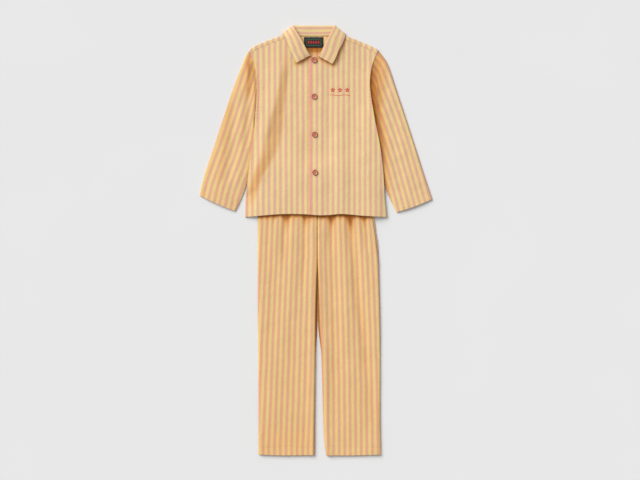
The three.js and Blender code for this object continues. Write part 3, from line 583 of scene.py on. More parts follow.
def cloth(
    name, counts, shape, grain, material, thickness=COTTON, tube=False, snug_cells=(0.008, 0.003),
    kept=None, painted_shade=None,
):
    """A grid of cloth bent by shape(u, v) in millimetres, with a wall to both sides.

    grain(u, v, places) gives how many stripe repeats each point is across and along the cloth, and the
    last argument, also a function of (u, v, places), how much painted shade its tint gives each point, from 0
    to 1.
    """
    columns, rows = counts
    mesh = bpy.data.meshes.new(name)
    bm = bmesh.new()
    bmesh.ops.create_grid(bm, x_segments=columns, y_segments=rows, size=1.0)
    if kept:
        middles = [(face, (face.calc_center_median().xy + Vector((1, 1))) / 2) for face in bm.faces]
        gone = [face for face, (u, v) in middles if not kept(u, v)]
        bmesh.ops.delete(bm, geom=gone, context="FACES")
    bm.to_mesh(mesh)
    bm.free()
    u, v = (coordinates(mesh)[:, :2].T + 1) / 2
    if not tube:
        u = snug(u, columns, snug_cells[0])
    v = snug(v, rows, snug_cells[1])
    places = shape(u, v)
    corners = np.empty(len(mesh.loops), dtype=np.int32)
    mesh.loops.foreach_get("vertex_index", corners)
    across_along = np.stack(grain(u, v, places), -1)[corners]
    mesh.uv_layers.new(name="grain").data.foreach_set("uv", across_along.ravel())
    mesh.vertices.foreach_set("co", (places * MM).ravel())
    if painted_shade:
        write_shares(mesh, "painted_shade", np.clip(painted_shade(u, v, places), 0, 1))
    if tube:
        bm = bmesh.new()
        bm.from_mesh(mesh)
        bmesh.ops.remove_doubles(bm, verts=bm.verts, dist=1e-6)
        bm.to_mesh(mesh)
        bm.free()
    smooth(mesh)
    mesh.update()
    piece = link(mesh, name, material)
    shell = piece.modifiers.new("wall", "SOLIDIFY")
    shell.thickness = thickness * MM
    shell.offset = 0
    return piece


def finish(piece, replaced=()):
    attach(piece, "root")
    if replaced:
        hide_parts(*replaced)


def stitched(name, runs, material, pitch=3.4, length=2.3, width=0.55, height=0.45):
    """Rows of stitches along runs, each a list of points in millimetres on the cloth's face."""
    bm = bmesh.new()
    for run in runs:
        run = np.asarray(run, float)
        steps = np.linalg.norm(np.diff(run, axis=0), axis=1)
        travelled = np.concatenate([[0], np.cumsum(steps)])
        for start in np.arange(0.5 * pitch, travelled[-1] - length, pitch):
            span = (start, start + length)
            first, last = (Vector([np.interp(d, travelled, column) for column in run.T]) for d in span)
            along = (last - first).normalized()
            sideways = along.cross(Vector((0, 0, 1))).normalized()
            upward = sideways.cross(along)
            axes = Matrix((along * length / 2, sideways * width / 2, upward * height / 2)).transposed()
            matrix = Matrix.Translation((first + last) / 2 * MM) @ (axes * MM).to_4x4()
            bmesh.ops.create_uvsphere(bm, u_segments=6, v_segments=4, radius=1.0, matrix=matrix)
    mesh = bpy.data.meshes.new(name)
    bmesh.ops.recalc_face_normals(bm, faces=bm.faces)
    bm.to_mesh(mesh)
    bm.free()
    smooth(mesh)
    return link(mesh, name, material)


def run_on(shape, us, vs, lift):
    """Points on the upper face of a shaped piece, for a row of stitches."""
    us, vs = np.broadcast_arrays(np.asarray(us, float), np.asarray(vs, float))
    points = shape(us.copy(), vs.copy())
    points[:, 2] += lift
    return points


# The shirt's body
SEAM_EDGE = 6.5  # how far from the armhole the seam is sewn down
FRONT_CREASES = {-1: FRONT_CREASES_RIGHT, 1: FRONT_CREASES_LEFT}
SIDES = {-1: Line(BODY_SIDE_RIGHT), 1: Line(BODY_SIDE_LEFT)}
ARMHOLES = {-1: ARMHOLE_RIGHT, 1: ARMHOLE_LEFT}
SHOULDERS = {-1: SHOULDER_RIGHT, 1: SHOULDER_LEFT}
INWARD = {-1: np.array((43, -95)) / math.hypot(43, 95), 1: np.array((-41, -92)) / math.hypot(41, 92)}
HEM = Line(SHIRT_HEM)
OUTLINES = {side: Line(rows + armhole[1:]) for side, rows, armhole in (
    (-1, BODY_SIDE_RIGHT, ARMHOLE_RIGHT), (1, BODY_SIDE_LEFT, ARMHOLE_LEFT))}


def shirt_lift(x, y):
    """How far the shirt's back is off the floor, over trousers, sleeves and the collar's under side."""
    over_trousers = TROUSER_LIFT * ease(-184, -140, x) * ease(-192, -150, -x) * ease(-226, -160, -y)
    from_edge = np.minimum(x - SIDES[-1].x_at(y), SIDES[1].x_at(y) - x)
    over_sleeve = SLEEVE_LIFT * (1 - ease(16, 56, from_edge)) * ease(-308, -274, -y) * ease(96, 136, y)
    over_collar = COLLAR_LIFT * ease(440, 496, y) * ease(-128, -88, x) * ease(-118, -78, -x)
    return np.maximum.reduce([over_trousers, over_sleeve, over_collar])


def front_lift(x, y):
    """The fronts hang over the same rises, but away from the buttons in a wider slope."""
    over_trousers = TROUSER_LIFT * ease(-184, -140, x) * ease(-192, -150, -x) * ease(-310, -160, -y)
    from_edge = np.minimum(x - SIDES[-1].x_at(y), SIDES[1].x_at(y) - x)
    over_sleeve = SLEEVE_LIFT * (1 - ease(16, 56, from_edge)) * ease(-385, -274, -y) * ease(96, 136, y)
    wide = (over_trousers**6 + over_sleeve**6) ** (1 / 6)
    close = shirt_lift(x, y)
    return close + np.maximum(wide - close, 0) * ease(14, 60, np.abs(x + 4))


def moved(rows, by):
    return [tuple(np.add(row, by)) for row in rows]


def ending_at(rows, point):
    return list(rows[:-1]) + [tuple(point)]


BACK_COLUMNS, BACK_ROWS, TURN_ROWS, STRIP_ROWS = 96, 120, 6, 3
ALL_BACK_ROWS = BACK_ROWS + TURN_ROWS + STRIP_ROWS
FLAT_SHARE = BACK_ROWS / ALL_BACK_ROWS
BACK_INSET = CLOTH / 2 + (CLOTH + SEAM_GAP + SHOULDER_GAP) / 2
NECK_FROM, NECK_TO = 0.32, 0.68  # shares of the back's upper edge where the neckline starts and ends


def back_top(share):
    share = np.asarray(share, float)
    right = Line(moved(SHOULDER_RIGHT, INWARD[-1] * BACK_INSET))(part(share, 0, NECK_FROM))
    left = Line(moved(SHOULDER_LEFT[::-1], INWARD[1] * BACK_INSET))(part(share, NECK_TO, 1))
    neck = Line(NECK_BACK)(part(share, NECK_FROM, NECK_TO))
    low, high = (share < NECK_FROM)[..., None], (share > NECK_TO)[..., None]
    return np.where(low, right, np.where(high, left, neck))


def shirt_back_shape(u, v):
    """The flat panel up to the shoulders, then a half turn and the strip that comes over to the front."""
    turn_share = (BACK_ROWS + TURN_ROWS) / ALL_BACK_ROWS
    sides = [
        chained(SIDES[side], Line(ending_at(ARMHOLES[side], back_top(end))), 0.5)
        for side, end in ((-1, 0.0), (1, 1.0))
    ]

    def hem(share):
        x = mix(SIDES[-1](0.0)[0], SIDES[1](0.0)[0], np.asarray(share, float))
        return np.stack([x, HEM.y_at(x)], -1)

    xy = patch(*sides, hem, back_top, u, part(v, 0, FLAT_SHARE))
    x, y = xy.T
    z = shirt_lift(x, y) + CLOTH / 2
    radius = (CLOTH + SEAM_GAP + SHOULDER_GAP) / 2
    angle = math.pi * part(v, FLAT_SHARE, turn_share)
    strip = (SHOULDER_WRAP - BACK_INSET) * part(v, turn_share, 1)
    out = radius * np.sin(angle) - strip
    inward = np.where((u < 0.5)[:, None], INWARD[-1], INWARD[1])
    xy = xy - inward * out[:, None]
    return np.column_stack([xy, z + radius * (1 - np.cos(angle))])


def front_parts(side):
    """The four lines round a front, read by share: outer side, centre edge, hem and top."""
    edge_x = RIGHT_FRONT_EDGE_X if side < 0 else LEFT_FRONT_EDGE_X
    seam = moved(SHOULDERS[side], INWARD[side] * (SHOULDER_WRAP + SEAM_GAP))
    neck = [seam[-1]] + (NECK_FRONT_RIGHT if side < 0 else NECK_FRONT_LEFT)[1:]
    top = chained(Line(seam), Line(neck), 0.5)
    outer = chained(SIDES[side], Line(ending_at(ARMHOLES[side], seam[0])), 0.5)
    hem_y = float(HEM.y_at(edge_x))
    bend = (edge_x, UNDERARM_Y)
    centre = chained(straight((edge_x, hem_y), bend), straight(bend, neck[-1]), 0.5)

    def hem(share):
        x = mix(outer(0.0)[0], edge_x, np.asarray(share, float))
        return np.stack([x, HEM.y_at(x)], -1)

    return outer, centre, hem, top


def armhole_hill(y):
    """0 at both ends of the armhole and 1 halfway up it."""
    return np.sin(math.pi * part(y, UNDERARM_Y, UNDERARM_Y + ARMHOLE_HEIGHT))


def front_shape(side):
    lines = front_parts(side)
    rows = FRONT_CREASES[side]

    def shape(u, v):
        x, y = patch(*lines, u, v).T
        from_edge = np.abs(x - OUTLINES[side].x_at(y))
        beside_sleeve = ease(UNDERARM_Y - 6, UNDERARM_Y + 20, y)
        under_collar = ease(428, 462, y) * ease(-96, -74, x) * ease(-88, -66, -x)
        open_gap = FRONT_GAP + creases(rows, x, y) + 0.45 * ripples(x, y, 70, 5 + side)
        if side < 0:
            open_gap = open_gap - 0.8 + broad_fold(x, y)[0]
        open_gap = mix(np.clip(open_gap, 0.4, 8.5), 1.3, 0.85 * under_collar)
        hill = armhole_hill(y)
        sewn_gap = mix(0.1, 0.2 + ARMHOLE_GAP * hill**0.7, beside_sleeve)
        gap = mix(sewn_gap, open_gap, ease(0, 42, from_edge))
        gap += (2.8 if side > 0 else 0.7) * hill**0.6 * (1 - ease(3, 15, from_edge))
        gap -= 0.7 * hill * np.exp(-(((from_edge - SEAM_EDGE) / 1.4) ** 2))
        gap += puckers(y, from_edge, 9, 0.28, 2) * beside_sleeve
        gap += puckers(x, y - HEM.y_at(x), 8, 0.12, 4)
        gap = mix(gap, SHOULDER_GAP, ease(0.8, 1, v) * (1 - 0.8 * ease(0.44, 0.56, u)))
        lap = 0 if side < 0 else LAP * (1 - ease(12, 27, x))
        for button_x, button_y in BUTTONS:
            near = np.hypot(x - button_x, (y - button_y) / 1.4)
            gap -= 0.5 * np.exp(-((near / 9) ** 2))
        z = front_lift(x, y) + CLOTH + SEAM_GAP + np.maximum(gap, 0.05) + lap + CLOTH / 2
        return np.column_stack([x, y, z])

    return shape


FRONT_SHAPES = {side: front_shape(side) for side in (-1, 1)}


# The collar's edges whose shadow is painted on the fronts
SHADING_EDGES = {-1: [(-48.5, 443), (-14.5, 460)], 1: [(6, 457), (41.5, 440), (56.5, 472), (72, 516)]}


def distance_from(path, x, y):
    """Distance in plan from a path of straight stretches."""
    nearest = np.full_like(x, np.inf)
    for (x0, y0), (x1, y1) in zip(path[:-1], path[1:]):
        dx, dy = x1 - x0, y1 - y0
        share = np.clip(((x - x0) * dx + (y - y0) * dy) / (dx * dx + dy * dy), 0, 1)
        nearest = np.minimum(nearest, np.hypot(x - x0 - share * dx, y - y0 - share * dy))
    return nearest


def front_painted_shade(side):
    """Painted shade in troughs, on the broad fold's leaning side, along the armhole's seam, in the collar's
    shadow and along the right front's outer edge.
    """

    def painted_shade(u, v, places):
        x, y = places.T[:2]
        depth = 0.15 * hollows(FRONT_CREASES[side], x, y)
        for path in SHADING_EDGES.values():
            depth = depth + 0.7 * np.exp(-((distance_from(path, x, y) / 7) ** 2))
        if side < 0:
            depth = depth + broad_fold(x, y)[1]
        from_edge = np.abs(x - OUTLINES[side].x_at(y))
        at_seam = np.exp(-(((from_edge - SEAM_EDGE) / 1.6) ** 2)) * armhole_hill(y)
        depth = depth + (0.2 if side > 0 else 0.08) * at_seam
        return depth + 0.16 * np.exp(-((from_edge / 4) ** 2)) * (side < 0)

    return painted_shade


def back_painted_shade(u, v, places):
    """Painted shade on the inside of the back, which lies deep in the neck opening, deepest below the label.
    """
    x, y = places.T[:2]
    opening = ease(440, 462, y) * ease(-66, -50, x) * ease(-62, -46, -x)
    below_label = np.exp(-(((y - LABEL["y"][0] + 3) / 12) ** 2)) * (1 - ease(20, 34, np.abs(x + 6)))
    return 0.14 * opening + below_label


def vertical_stripes(first_x, repeat):
    def grain(u, v, places):
        x, y = places.T[:2]
        return (x - first_x + 0.5 * ripples(x, y, 120, 3)) / repeat, y / repeat

    return grain


def make_shirt_body():
    back = cloth(
        "shirt_back_cloth", (BACK_COLUMNS, ALL_BACK_ROWS), shirt_back_shape, vertical_stripes(-4.25, 13.7),
        SHIRT_COTTON, kept=lambda u, v: v < FLAT_SHARE or u < NECK_FROM or u > NECK_TO, painted_shade=back_painted_shade,
    )
    finish(back, ["shirt_back"])
    fronts = {}
    for side, word, stripes in ((-1, "right", (-39.5, 14.05)), (1, "left", (-4.25, 13.35))):
        piece = cloth(
            f"shirt_front_{word}_cloth", (84, 160), FRONT_SHAPES[side], vertical_stripes(*stripes),
            SHIRT_COTTON, painted_shade=front_painted_shade(side),
        )
        finish(piece, [f"shirt_front_{word}"])
        fronts[side] = piece
    tint_front_edge(fronts[1])
    return back, fronts


def tint_front_edge(piece):
    """The stripe along the lapping edge is stronger towards the collar."""
    x, y, _ = coordinates(piece.data).T / MM
    write_shares(piece.data, "coral", (1 - ease(-12, -8.5, x)) * (0.5 + 0.1 * ease(300, 380, y)))


# Sleeves
def sleeve_lines(side):
    rows = (
        (SLEEVE_OUTER_RIGHT, SLEEVE_INNER_RIGHT, CUFF_RIGHT) if side < 0
        else (SLEEVE_OUTER_LEFT, SLEEVE_INNER_LEFT, CUFF_LEFT)
    )
    outer, inner, cuff = (Line(table) for table in rows)
    armhole = moved(ARMHOLES[side][::-1], (side * 0.6, 0))
    armhole[0] = tuple(outer(0.0))
    armhole[-1] = tuple(inner(0.0))
    return outer, inner, Line(armhole), cuff


# Columns round a sleeve's front, each of its turned sides and its back
SLEEVE_FRONT, SLEEVE_TURN, SLEEVE_BACK = 46, 7, 16
SLEEVE_ROUND = SLEEVE_FRONT + SLEEVE_BACK + 2 * SLEEVE_TURN
SLEEVE_LENGTH = 390
SLEEVE_CREASES = {-1: SLEEVE_CREASES_RIGHT, 1: SLEEVE_CREASES_LEFT}
TUCK = 2.6  # how far the sleeve's head reaches under the body's edge


def sleeve_shape(side):
    lines = sleeve_lines(side)
    rows = SLEEVE_CREASES[side]
    ends = np.cumsum([SLEEVE_FRONT, SLEEVE_TURN, SLEEVE_BACK, SLEEVE_TURN]) / SLEEVE_ROUND

    def shape(t, s):
        start, end = (patch(*lines, share, s) for share in (np.zeros_like(s), np.ones_like(s)))
        width = np.linalg.norm(end - start, axis=1)
        inset = (CLOTH / 2 + FOLD_RADIUS) / width
        bounds = zip((0, *ends[:-1]), ends)
        front, inner_turn, back, outer_turn = (part(t, low, high) for low, high in bounds)
        w = mix(inset, 1 - inset, np.where(t <= ends[0], front, np.where(t <= ends[2], 1 - back, 0)))
        xy = patch(*lines, w, s)
        towards = (end - start) / width[:, None]
        angle = math.pi * np.where(t <= ends[1], inner_turn, outer_turn)
        bulge = FOLD_RADIUS * np.sin(angle)
        xy = xy + towards * np.where(t <= ends[2], bulge, -bulge)[:, None]
        x, y = xy.T
        hill = np.sin(math.pi * np.clip(w, 0, 1))
        x = x - side * TUCK * hill**0.6 * (1 - ease(0, 0.025, s))
        from_seam = ease(0.0, 0.1 if side > 0 else 0.05, s)
        soft = creases(rows, x, y) + 0.5 * ripples(x, y, 45, 11 + side) + 0.5
        rise = (2.6 * hill**0.6 + soft * hill**0.5) * from_seam
        rise += puckers(y, SLEEVE_LENGTH * s, 14, 0.4, 6) * hill * ease(0, 0.03, s)
        rise += puckers(SLEEVE_LENGTH * w, SLEEVE_LENGTH * (1 - s), 9, 0.2, 8) * hill
        rise -= 0.4 * hill * np.exp(-((SLEEVE_LENGTH * (1 - s) - HEM_DEPTH) / 1.6) ** 2)
        tucked = ease(0.7, 0.95, w) * ease(0.02, 0.1, s) * (1 - ease(0.5, 0.7, s))
        rise = np.clip(rise, 0.05, mix(7.0, 1.6, tucked))
        height = np.where(t <= ends[0], 2 * FOLD_RADIUS + rise, 0.0)
        turning = FOLD_RADIUS * (1 + np.cos(angle))
        height = np.where((t > ends[0]) & (t <= ends[1]), turning, height)
        height = np.where(t > ends[2], 2 * FOLD_RADIUS - turning, height)
        return np.column_stack([x, y, CLOTH / 2 + height])

    return shape


SLEEVE_SHAPES = {side: sleeve_shape(side) for side in (-1, 1)}


# The painted shade beside the body on each sleeve. Columns: y, how far it reaches, its depth beside the body.
SLEEVE_SHADES = {
    -1: [(110, 7, 0.1), (200, 8, 0.22), (290, 9, 0.25), (350, 16, 0.3), (425, 24, 0.42), (470, 26, 0.3)],
    1: [
        (110, 20, 0.8), (176, 23, 0.64), (226, 25, 0.98), (276, 30, 1.08), (326, 32, 1.2), (376, 44, 1.2),
        (426, 50, 0.95), (460, 60, 0.55),
    ],
}
# Painted shade in streaks down the right sleeve, laid out like troughs but not shaping the cloth. Columns:
# x0, y0, x1, y1, width, depth.
SLEEVE_PAINTED_STREAKS_RIGHT = [
    (-168, 450, -171, 350, 8, -1.9), (-170, 350, -184, 210, 8, -0.35), (-212, 345, -246, 110, 10, -0.6),
]


def sleeve_painted_shade(side):
    """Painted shade beside the body and along the armhole's seam, a little over the left sleeve's front,
    and on the right sleeve also in streaks, all over and along its turned edges.
    """
    ys, reaches, depths = np.array(SLEEVE_SHADES[side], float).T

    def painted_shade(t, s, places):
        x, y = places.T[:2]
        on_front = 1 - ease(0.6, 0.7, t)
        from_body = np.maximum(side * (x - OUTLINES[side].x_at(np.maximum(y, 60))), 0)
        shade = np.interp(y, ys, depths) * np.clip(1 - from_body / np.interp(y, ys, reaches), 0, 1)
        if side > 0:
            return on_front * (0.05 + np.minimum(shade, 1))
        # painted shade along the right sleeve's turned edges, and a little over all of it
        painted_rim_shade = 0.22 * np.exp(-((np.where(t < 0.5, t, 1 - t) * SLEEVE_ROUND / 2.5) ** 2))
        return 0.13 + painted_rim_shade + on_front * (1.15 * hollows(SLEEVE_PAINTED_STREAKS_RIGHT, x, y) + shade)

    return painted_shade


def sleeve_grain(side):
    """The sleeve's stripes follow its outer edge, a little straighter."""
    outer = sleeve_lines(side)[0]
    start, bend, repeat = ((2.3, 4.0, 14.6), (-1.0, -6.2, 13.9))[side > 0]

    def grain(t, s, places):
        near = outer(s)
        slope = outer(np.clip(s + 0.01, 0, 1)) - outer(np.clip(s - 0.01, 0, 1))
        slope /= np.linalg.norm(slope, axis=1)[:, None]
        offset = places[:, :2] - near
        distance = np.abs(offset[:, 0] * slope[:, 1] - offset[:, 1] * slope[:, 0])
        return (distance - start - bend * np.sin(math.pi * s)) / repeat, SLEEVE_LENGTH * s / repeat

    return grain


def make_sleeves():
    pieces = {}
    for side, word in ((-1, "right"), (1, "left")):
        piece = cloth(
            f"sleeve_{word}_cloth", (SLEEVE_ROUND, 150), SLEEVE_SHAPES[side], sleeve_grain(side),
            SHIRT_COTTON, tube=True, painted_shade=sleeve_painted_shade(side),
        )
        finish(piece, [f"sleeve_{word}"])
        pieces[side] = piece
    return pieces


# Collar
STAND_ROWS, FOLD_ROWS, LEAF_ROWS = 8, 6, 18
COLLAR_ROWS = STAND_ROWS + FOLD_ROWS + LEAF_ROWS
STAND_SHARE = STAND_ROWS / COLLAR_ROWS
FOLD_SHARE = (STAND_ROWS + FOLD_ROWS) / COLLAR_ROWS
LEAF_DEPTH, STAND_DEPTH, COLLAR_LENGTH = 33, 27, 330
COLLAR_REPEAT = 13.5


def collar_shape(u, v):
    """u runs round the neck, and v from the neck seam over the fold to the leaf's outer edge."""
    rails = [[row[n:n + 3] for row in COLLAR_STATIONS] for n in (0, 3, 6)]
    seam, fold, outer = (rail(rows, u) for rows in rails)
    standing = fold - seam
    standing /= np.linalg.norm(standing, axis=1)[:, None]
    ahead, behind = (rail(rails[1], np.clip(u + step, 0, 1)) for step in (0.004, -0.004))
    outward = np.cross(standing, ahead - behind)
    outward /= np.linalg.norm(outward, axis=1)[:, None]
    turn = math.pi * part(v, STAND_SHARE, FOLD_SHARE)
    crest = fold - standing * (COLLAR_COTTON / 2 + COLLAR_TURN * (1 - np.sin(turn)))[:, None]
    turned = crest + outward * (-np.cos(turn) * COLLAR_TURN)[:, None]
    below = fold - standing * (COLLAR_COTTON / 2 + COLLAR_TURN)
    standing_up = mix(seam, below - outward * COLLAR_TURN, part(v, 0, STAND_SHARE)[:, None])
    leaf = part(v, FOLD_SHARE, 1)
    lying = mix(below + outward * COLLAR_TURN, outer, leaf[:, None])
    in_front = ease(0.24, 0.3, np.abs(u - 0.5))
    bulge = np.where(u < 0.5, 2.0, 0.4)
    lying[:, 2] += in_front * (bulge * np.sin(math.pi * leaf) + 0.25 * leaf * np.sin(u * 55))
    bent = np.where((v < FOLD_SHARE)[:, None], turned, lying)
    places = np.where((v < STAND_SHARE)[:, None], standing_up, bent)
    places[:, 2] = np.maximum(places[:, 2], COLLAR_COTTON / 2 + REST_GAP)
    return places


def collar_grain(u, v, places):
    """Both faces are striped along the collar, counted from the leaf's outer edge and from the fold."""
    # each half is cut a little askew, so that its first stripe nears the edge towards the front
    up_the_leaf = np.clip(places[:, 1] - 471, 0, 34)
    first = np.where(u < 0.5, 3 + 0.115 * up_the_leaf, 5.3 + 0.165 * up_the_leaf)
    on_leaf = (LEAF_DEPTH * (1 - part(v, FOLD_SHARE, 1)) - first) / COLLAR_REPEAT
    on_stand = (STAND_DEPTH * (1 - part(v, 0, STAND_SHARE)) + 1) / COLLAR_REPEAT + 3
    turning = mix(3 + 1 / COLLAR_REPEAT, 30 / COLLAR_REPEAT, part(v, STAND_SHARE, FOLD_SHARE))
    across = np.where(v < STAND_SHARE, on_stand, np.where(v < FOLD_SHARE, turning, on_leaf))
    return across, u * COLLAR_LENGTH / STRIPE_REPEAT


def make_collar():
    piece = cloth(
        "collar_cloth", (180, COLLAR_ROWS), collar_shape, collar_grain, SHIRT_COTTON,
        thickness=COLLAR_COTTON, snug_cells=(0.003, 0.02),
    )
    finish(piece, ["collar"])
    return piece


# Label
def label_shape(u, v):
    x, y = mix(*LABEL["x"], u), mix(*LABEL["y"], v)
    rise = LABEL["above"] + LABEL["thickness"] / 2 + 0.35 * np.sin(math.pi * u) * (1 - v)
    return np.column_stack([x, y, shirt_lift(x, y) + CLOTH + rise])


def make_label():
    piece = cloth(
        "neck_label_tape", (24, 14), label_shape, lambda u, v, places: (u * 3.4, v * 1.9), TAPE,
        thickness=0.7, snug_cells=(0.015, 0.03),
    )
    finish(piece, ["neck_label"])
    # a generic mark: a row of little lozenges between two lines
    lines = [run_on(label_shape, np.linspace(0.12, 0.88, 12), height, 0.5) for height in (0.2, 0.8)]
    lines += [run_on(label_shape, share, np.linspace(0.2, 0.8, 5), 0.5) for share in (0.12, 0.88)]
    lozenges = []
    for middle in np.linspace(0.24, 0.76, 5):
        for reach in (0.05, 0.025):
            tall = reach * 3.2
            across, up = np.array([(-reach, 0), (0, tall), (reach, 0), (0, -tall), (-reach, 0)]).T
            lozenges.append(run_on(label_shape, middle + across, 0.5 + up, 0.5))
    marks = [
        stitched("label_frame", lines, GREEN_THREAD, pitch=1.2, length=1.3, width=1.1, height=0.3),
        stitched("label_lozenges", lozenges, RED_THREAD, pitch=0.9, length=1.2, width=1.1, height=0.3),
    ]
    for mark in marks:
        finish(mark)
    return piece, marks


# Buttons, their thread and buttonholes
def front_top(y):
    """Height of the left front's upper face in its straight middle."""
    v = np.linspace(0, 1, 400)
    u = np.full_like(v, 0.93)
    places = FRONT_SHAPES[1](u, v)
    return float(np.interp(y, places[:, 1], places[:, 2])) + COTTON / 2


def make_button(number, x, y):
    bm = bmesh.new()
    r, h = BUTTON_RADIUS, BUTTON_HEIGHT
    profile = [
        (0, 0), (r - 1.6, 0), (r - 0.5, 0.35), (r, 1.1), (r - 0.1, h - 0.7), (r - 0.6, h - 0.12),
        (r - 1.1, h), (r - 1.6, h - 0.2), (r - 2.3, h - 0.9), (r - 3.1, h - 1.4), (r - 4.0, h - 1.55),
        (0, h - 1.6),
    ]
    points = [bm.verts.new((a, 0, b)) for a, b in profile]
    edges = [bm.edges.new(pair) for pair in zip(points[:-1], points[1:])]
    bmesh.ops.spin(
        bm, geom=points + edges, axis=(0, 0, 1), cent=(0, 0, 0), steps=48, angle=math.tau, use_merge=True,
    )
    bmesh.ops.remove_doubles(bm, verts=bm.verts, dist=1e-4)
    bmesh.ops.recalc_face_normals(bm, faces=bm.faces)
    level = button_level(x, y)
    bmesh.ops.transform(bm, matrix=Matrix.Translation((x, y, level)), verts=bm.verts)
    bmesh.ops.scale(bm, vec=(MM, MM, MM), verts=bm.verts)
    mesh = bpy.data.meshes.new(f"button_{number}_resin")
    bm.to_mesh(mesh)
    bm.free()
    piece = link(mesh, mesh.name, RESIN)
    pierce(piece, x, y, level)
    places = coordinates(piece.data) / MM
    from_middle = np.hypot(places[:, 0] - x, places[:, 1] - y) / BUTTON_RADIUS
    # painted shade on the button's rim
    write_shares(piece.data, "painted_rim_shade", ease(0.6, 0.86, from_middle))
    smooth(piece.data)
    piece.data.set_sharp_from_angle(angle=math.radians(40))
    finish(piece, [f"button_{number}"])
    return piece


def button_level(x, y):
    """The underside of a button, at the solid's own."""
    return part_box(f"button_{1 + BUTTONS.index((x, y))}")[0][2] / MM


def pierce(piece, x, y, level):
    """Cuts the four thread holes."""
    bm = bmesh.new()
    for sx, sy in ((1, 1), (-1, 1), (-1, -1), (1, -1)):
        place = Vector((x + sx * THREAD_HOLE_OFFSET, y + sy * THREAD_HOLE_OFFSET, level + 1)) * MM
        bmesh.ops.create_cone(
            bm, cap_ends=True, segments=16, radius1=0.85 * MM, radius2=0.85 * MM, depth=8 * MM,
            matrix=Matrix.Translation(place),
        )
    mesh = bpy.data.meshes.new("holes")
    bm.to_mesh(mesh)
    bm.free()
    cutter = bpy.data.objects.new("holes", mesh)
    bpy.context.collection.objects.link(cutter)
    cut = piece.modifiers.new("holes", "BOOLEAN")
    cut.operation = "DIFFERENCE"
    cut.solver = "EXACT"
    cut.object = cutter
    result = bpy.data.meshes.new_from_object(piece.evaluated_get(bpy.context.evaluated_depsgraph_get()))
    piece.modifiers.clear()
    result.name = piece.name
    piece.data = result
    bpy.data.objects.remove(cutter)


def thread_of_button(number, x, y):
    """Two crossed bars of thread that go down through the holes."""
    level = button_level(x, y) + BUTTON_HEIGHT - 1.5
    reach = THREAD_HOLE_OFFSET
    runs = []
    for sx, sy in ((1, 1), (1, -1)):
        for shift in (-0.35, 0.0, 0.35):
            side = np.array((-sy, sx, 0)) * shift / math.sqrt(2)
            middle = np.array((x, y, level + 0.35))
            end = np.array((sx * reach, sy * reach, -0.75))
            level_end = end * 0.6 * (1, 1, 0)
            bar = (-end * (1, 1, -1), -level_end, level_end, end)
            runs.append([middle + offset + side for offset in bar])
    piece = stitched(
        f"button_{number}_thread", runs, BUTTON_THREAD, pitch=1.2, length=1.5, width=0.5, height=0.5,
    )
    finish(piece)
    return piece


def make_buttonholes():
    """Upright buttonholes: two rows of close zigzag beside a slit, barred at both ends."""
    runs = []
    half = 10.5
    for x, y in BUTTONS[1:] + BUTTONS[:1]:
        bars = [[(x + s, y + t) for t in np.linspace(-half, half, 14)] for s in (-1.0, 1.0)]
        bars += [[(x + s, y + t) for s in np.linspace(-1.6, 1.6, 5)] for t in (-half, half)]
        runs += [[(a, b, front_top(b) + 0.12) for a, b in bar] for bar in bars]
    piece = stitched("buttonholes", runs, SEWING_THREAD, pitch=0.95, length=0.9, width=1.0, height=0.4)
    finish(piece)
    return piece


def make_chest_motif():
    """A small generic embroidery in red: three stars over a line of running stitch."""
    grid_u, grid_v = np.meshgrid(np.linspace(0.3, 1, 90), np.linspace(0.5, 0.9, 90))
    places = FRONT_SHAPES[1](grid_u.ravel(), grid_v.ravel())
    star_y = 375.5

    def on_cloth(points):
        lifted = []
        for x, y in points:
            nearest = np.argmin((places[:, 0] - x) ** 2 + (places[:, 1] - y) ** 2)
            lifted.append((x, y, places[nearest, 2] + COTTON / 2 + 0.1))
        return lifted

    runs = [on_cloth([(x, 362.5 + 0.8 * math.sin(x / 5)) for x in np.linspace(34, 86, 40)])]
    for star_x in (42, 60, 78):
        outline = []
        for k in range(5):
            for reach, turned in ((6.2, 0), (2.6, math.pi / 5)):
                angle = math.pi / 2 + k * math.tau / 5 + turned
                outline.append((star_x + reach * math.cos(angle), star_y + reach * math.sin(angle)))
        runs.append(on_cloth(outline + outline[:1]))
        for x, y in outline:
            end = (star_x + 0.9 * (x - star_x), star_y + 0.9 * (y - star_y))
            runs.append(on_cloth([(star_x, star_y), end]))
    piece = stitched("chest_motif", runs, RED_THREAD, pitch=1.3, length=2.0, width=1.5, height=0.6)
    finish(piece)
    return piece


# Trousers
LEG_ROWS = {-1: GATHERS_RIGHT + LEG_CREASES_RIGHT, 1: GATHERS_LEFT + LEG_CREASES_LEFT}


def leg_lines(side, cut_away=False):
    side_rows = TROUSER_SIDE_RIGHT if side < 0 else (FRONT_SIDE_LEFT if cut_away else TROUSER_SIDE_LEFT)
    left = Line(side_rows if side < 0 else INSEAM_LEFT)
    right = Line(INSEAM_RIGHT if side < 0 else side_rows)
    bottom = Line(LEG_HEM_RIGHT if side < 0 else LEG_HEM_LEFT)
    return left, right, bottom, straight(left(1.0), right(1.0))


